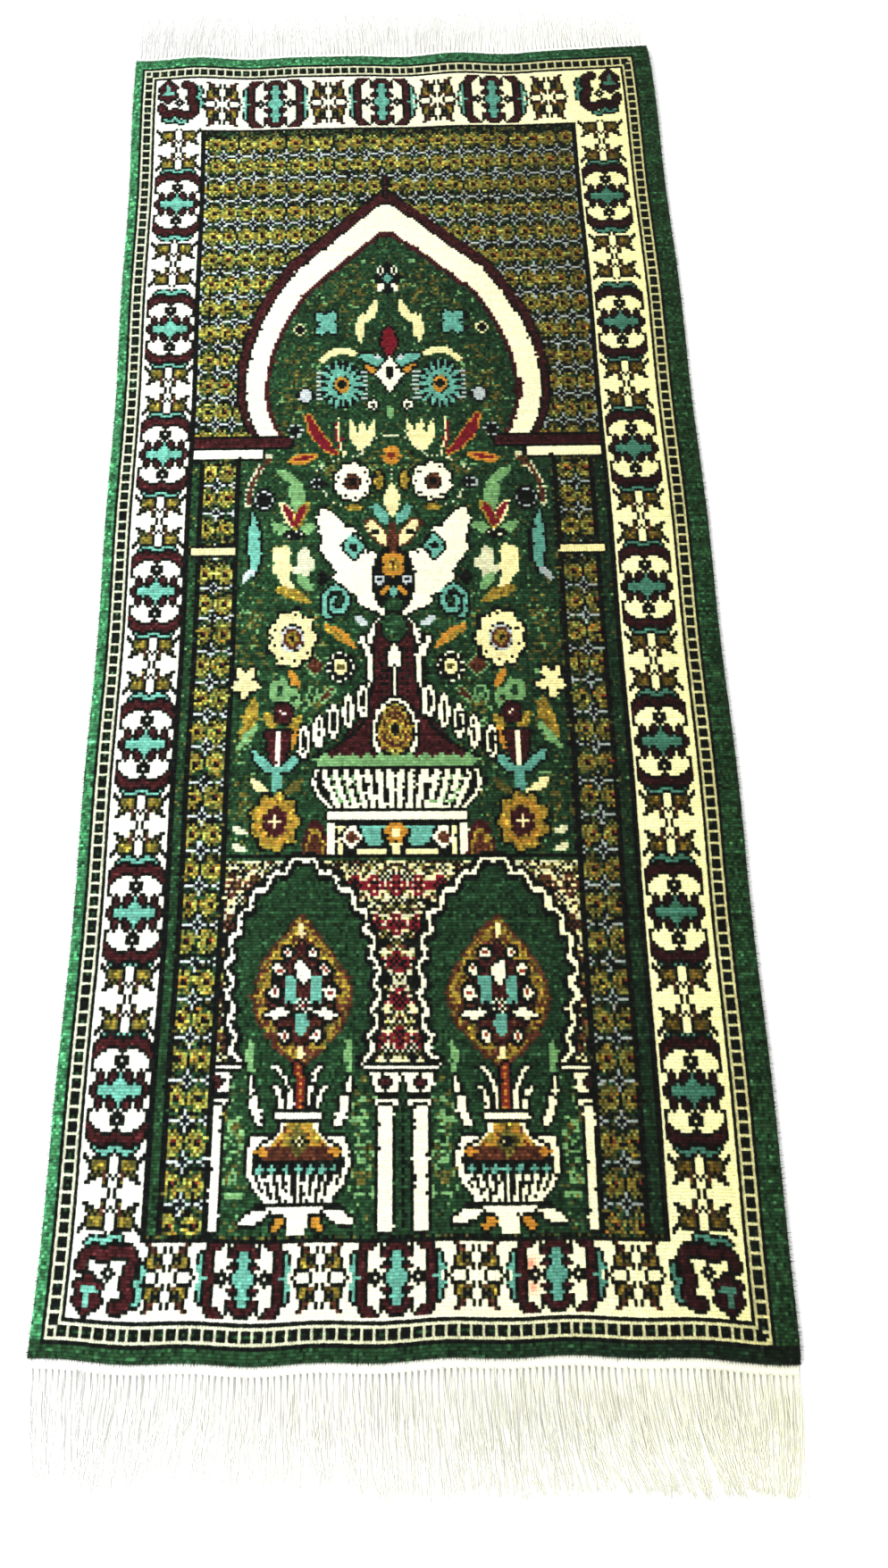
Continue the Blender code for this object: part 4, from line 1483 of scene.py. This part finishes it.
def yarn_spines(end, table, spread):
    """Middle lines of the fringe's loose yarns, and their shares across.

    A yarn leaves its lock's root straight, drifts sideways with the square of
    its way, and meanders by two sine waves that grow along it. Its height
    above the floor is its own radius and a low hump where it crosses others.
    """
    share = np.repeat((np.arange(LOCKS) + 0.5) / LOCKS, YARNS_IN_LOCK)
    count = len(share)
    place_in_lock = np.tile(np.linspace(-1, 1, YARNS_IN_LOCK), LOCKS)
    x, y, lift = place(share, np.full(count, 0.0 if end < 0 else 1.0))
    drift = curve_through(table, 1, share) + np.repeat(spread.normal(0, LOCK_STRAY, LOCKS), YARNS_IN_LOCK)
    drift += spread.normal(0, YARN_STRAY, count)
    length = curve_through(table, 2, share) * (1.0 - YARN_UNEVEN * spread.random(count) ** 2)
    length += np.repeat(spread.uniform(-LOCK_UNEVEN, LOCK_UNEVEN, LOCKS), YARNS_IN_LOCK)
    t = np.linspace(0, 1, YARN_STEPS + 1)[:, None]
    much = spread.normal(0, 1, (4, count))
    phase = spread.uniform(0, 2 * np.pi, (2, count))
    side = place_in_lock * (LOCK_HALF[0] + LOCK_HALF[1] * t) + drift * t**2
    for (swing, half_waves), own, start in zip((SLOW_WAVE, QUICK_WAVE), much, phase):
        side += swing * t * own * np.sin(half_waves * np.pi * t + start)
    out = SEAM + ROOT_SHARE * BAND_WIDTH + ((1.0 - ROOT_SHARE) * BAND_WIDTH + length) * t
    hump = HUMP * np.abs(much[2]) * np.sin(np.pi * np.clip(1.3 * t + 0.1 * much[3], 0, 1)) ** 2
    from_band = ROOT_RISE * np.maximum(0.0, 1.0 - t / ROOT_REACH)
    z = lift * np.maximum(0.0, 1.0 - t / LOCK_DOWN) ** 2 + YARN_RADIUS + hump + from_band
    return np.stack([x + side, y + end * out, z], axis=-1), share


def yarns(end, table, spread):
    """The fringe's loose yarns as thin three-sided tubes: points, triangles, shares across, and count.

    Each is a ring of points carried along its middle line, thinner with the
    sixth power of the way.
    """
    spine, share = yarn_spines(end, table, spread)
    count = len(share)
    way = np.gradient(spine, axis=0)
    way /= np.linalg.norm(way, axis=-1, keepdims=True)
    right = np.cross(way, (0.0, 0.0, 1.0))
    right /= np.linalg.norm(right, axis=-1, keepdims=True)
    up = np.cross(right, way)
    turn = 2 * np.pi * (np.arange(YARN_SIDES) + 0.5) / YARN_SIDES
    t = np.linspace(0, 1, YARN_STEPS + 1)[:, None]
    radius = YARN_RADIUS * (1.0 - THINNING * t**6) * spread.uniform(0.8, 1.15, count)
    ring = right[:, :, None] * np.cos(turn)[:, None] + up[:, :, None] * np.sin(turn)[:, None]
    points = spine[:, :, None] + radius[..., None, None] * ring
    number = np.arange(points[..., 0].size).reshape(YARN_STEPS + 1, count, YARN_SIDES)
    after = np.roll(number, -1, axis=-1)
    quads = np.stack([number[:-1], after[:-1], after[1:], number[1:]], -1).reshape(-1, 4)
    triangles = np.concatenate([quads[:, [0, 1, 2]], quads[:, [0, 2, 3]], number[0][:, ::-1], number[-1]])
    return points.reshape(-1, 3), triangles, np.tile(np.repeat(share, YARN_SIDES), YARN_STEPS + 1), count


def outward(points, triangles):
    """The triangles, turned round as a whole if they enclose a negative volume."""
    p, q, r = (points[triangles[:, k]] for k in range(3))
    volume = np.einsum("ij,ij->i", p, np.cross(q, r)).sum()
    return triangles if volume > 0 else triangles[:, ::-1]


def fringe(name, end, table, material):
    """One end's band and fringe as one piece, with each yarn's own tint."""
    spread = np.random.default_rng(40 + end)
    band_points, band_triangles, band_shares = band(end)
    yarn_points, yarn_triangles, yarn_shares, count = yarns(end, table, spread)
    band_triangles = outward(band_points, band_triangles)
    yarn_triangles = outward(yarn_points, yarn_triangles)
    left, right = linear(COTTON[end])
    tint = np.exp(TINT_STRAY * spread.standard_normal(count))
    tint = np.tile(np.repeat(tint, YARN_SIDES), YARN_STEPS + 1)
    tone = np.concatenate([np.full(len(band_points), BAND_TONE), tint])
    shares = np.concatenate([band_shares, yarn_shares])[:, None]
    colour = np.clip((left * (1 - shares) + right * shares) * tone[:, None], 0, 1)
    points = np.concatenate([band_points, yarn_points])
    triangles = np.concatenate([band_triangles, yarn_triangles + len(band_points)])
    low, high = points.min(axis=0), points.max(axis=0)
    uv = (points[:, :2] - low[:2]) / (high - low)[:2]
    return make_piece(name, points, triangles, material, colour[triangles.ravel()], uv[triangles.ravel()])


# ---- finishes ----


def principled(name):
    """A new material's nodes, links and Principled shader."""
    material = bpy.data.materials.new(name)
    material.use_nodes = True
    tree = material.node_tree
    return material, tree.nodes, tree.links, tree.nodes["Principled BSDF"]


def noise(nodes, links, coordinates, scale, detail=3.0):
    """A noise pattern on the object's own coordinates."""
    pattern = nodes.new("ShaderNodeTexNoise")
    pattern.inputs["Scale"].default_value = scale
    pattern.inputs["Detail"].default_value = detail
    links.new(coordinates, pattern.inputs["Vector"])
    return pattern.outputs["Fac"]


def ranged(nodes, links, source, low, high):
    """A value of 0.3 to 0.7 brought to the range from low to high."""
    spread = nodes.new("ShaderNodeMapRange")
    spread.inputs["From Min"].default_value = 0.3
    spread.inputs["From Max"].default_value = 0.7
    spread.inputs["To Min"].default_value = low
    spread.inputs["To Max"].default_value = high
    links.new(source, spread.inputs["Value"])
    return spread.outputs["Result"]


def scaled_colour(nodes, links, colour, factor):
    """A colour times a value."""
    product = nodes.new("ShaderNodeVectorMath")
    product.operation = "SCALE"
    links.new(colour, product.inputs[0])
    links.new(factor, product.inputs["Scale"])
    return product.outputs["Vector"]


def yarn_finish(name, roughness, sheen, fibre, mottle, nap):
    """Dyed yarn: the piece's own colours, flecked by its fibres, matt, with a raised nap.

    fibre is the scale of the flecks, mottle how far they go from the colour,
    and nap its height in metres.
    """
    material, nodes, links, shader = principled(name)
    dye = nodes.new("ShaderNodeAttribute")
    dye.attribute_name = "yarn"
    spot = nodes.new("ShaderNodeTexCoord").outputs["Object"]
    fine = noise(nodes, links, spot, fibre)
    broad = noise(nodes, links, spot, 7.0, 2.0)
    flecks = ranged(nodes, links, fine, 1 - mottle, 1 + mottle)
    colour = scaled_colour(nodes, links, dye.outputs["Color"], flecks)
    colour = scaled_colour(nodes, links, colour, ranged(nodes, links, broad, 0.93, 1.07))
    links.new(colour, shader.inputs["Base Color"])
    links.new(ranged(nodes, links, fine, roughness - 0.06, roughness + 0.04), shader.inputs["Roughness"])
    shader.inputs["Specular IOR Level"].default_value = 0.12
    shader.inputs["Sheen Weight"].default_value = sheen
    shader.inputs["Sheen Roughness"].default_value = 0.5
    bump = nodes.new("ShaderNodeBump")
    bump.inputs["Strength"].default_value = 0.6
    bump.inputs["Distance"].default_value = nap
    links.new(noise(nodes, links, spot, 0.7 * fibre, 4.0), bump.inputs["Height"])
    links.new(bump.outputs["Normal"], shader.inputs["Normal"])
    return material


# ---- stage ----
CAMERA_PLACE = (0.0395, -0.5617, 1.0071)  # from the middle of the cloth's rectangle
CAMERA_TURN = (0.32898, 0.00419, -0.02528)  # axis times angle
CAMERA_LENS = 26.0
FLOOR_DROP = 0.0005
FLOOR_HALF = 6.0


def stage():
    """A pale floor, soft light from above and from the left, and the camera of the photograph."""
    floor_mesh = bpy.data.meshes.new("floor")
    quarters = ((-1, -1), (1, -1), (1, 1), (-1, 1))
    corners = [(x * FLOOR_HALF, y * FLOOR_HALF, -FLOOR_DROP) for x, y in quarters]
    floor_mesh.from_pydata(corners, [], [(0, 1, 2, 3)])
    floor = bpy.data.objects.new("floor", floor_mesh)
    bpy.context.scene.collection.objects.link(floor)
    material, _, _, shader = principled("floor_paint")
    shader.inputs["Base Color"].default_value = (0.93, 0.93, 0.92, 1)
    shader.inputs["Roughness"].default_value = 0.8
    floor_mesh.materials.append(material)

    def soft_light(name, place, target, size, power):
        light = bpy.data.lights.new(name, "AREA")
        light.shape = "SQUARE"
        light.size = size
        light.energy = power
        item = bpy.data.objects.new(name, light)
        item.location = place
        item.rotation_euler = (Vector(target) - Vector(place)).to_track_quat("-Z", "Y").to_euler()
        bpy.context.scene.collection.objects.link(item)

    soft_light("key_light", (-2.2, -1.0, 2.6), (0, 0, 0), size=1.6, power=122)
    soft_light("fill_light", (1.6, 1.8, 2.8), (0, 0, 0), size=2.4, power=40)
    world = bpy.data.worlds.new("studio")
    bpy.context.scene.world = world
    world.use_nodes = True
    world.node_tree.nodes["Background"].inputs["Color"].default_value = (1.0, 1.0, 0.99, 1)
    world.node_tree.nodes["Background"].inputs["Strength"].default_value = 0.78

    camera = bpy.data.cameras.new("camera")
    camera.sensor_fit = "VERTICAL"
    camera.sensor_height = 36.0
    camera.lens = CAMERA_LENS
    camera.clip_start = 0.01
    item = bpy.data.objects.new("camera", camera)
    turn = Vector(CAMERA_TURN)
    stand = Vector(CAMERA_PLACE) + Vector((SHIFT_X, SHIFT_Y, 0.0))
    item.matrix_world = Matrix.Translation(stand) @ Matrix.Rotation(turn.length, 4, turn.normalized())
    bpy.context.scene.collection.objects.link(item)
    bpy.context.scene.camera = item
    bpy.context.scene.view_settings.view_transform = "Standard"


# The cloth's lengths: their first chart row, and the row after their last
LENGTHS = {
    "rug_niche_top": (0, 128),
    "rug_niche": (128, 255),
    "rug_garden": (255, 383),
    "rug_arcade": (383, 510),
}


def dress():
    """Every piece of the rug, on its body and in place of its solid."""
    wool = yarn_finish("wool_pile", roughness=0.94, sheen=0.03, fibre=900.0, mottle=0.24, nap=0.0007)
    cotton = yarn_finish("cotton_yarn", roughness=0.85, sheen=0.10, fibre=1600.0, mottle=0.07, nap=0.0003)
    colours = knot_colours(knot_chart())
    fringes = {
        "rug_arcade": fringe("fringe_yarns_front", -1, FRONT_LOCKS, cotton),
        "rug_niche_top": fringe("fringe_yarns_back", 1, BACK_LOCKS, cotton),
    }
    for name, (r0, r1) in LENGTHS.items():
        piece = rug_length(name, r0, r1, colours, wool)
        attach(piece, "root")
        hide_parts("rug_pile")
    for piece, node in zip(fringes.values(), ("fringe_front", "fringe_back")):
        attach(piece, "root")
        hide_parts(node)


stage()
dress()
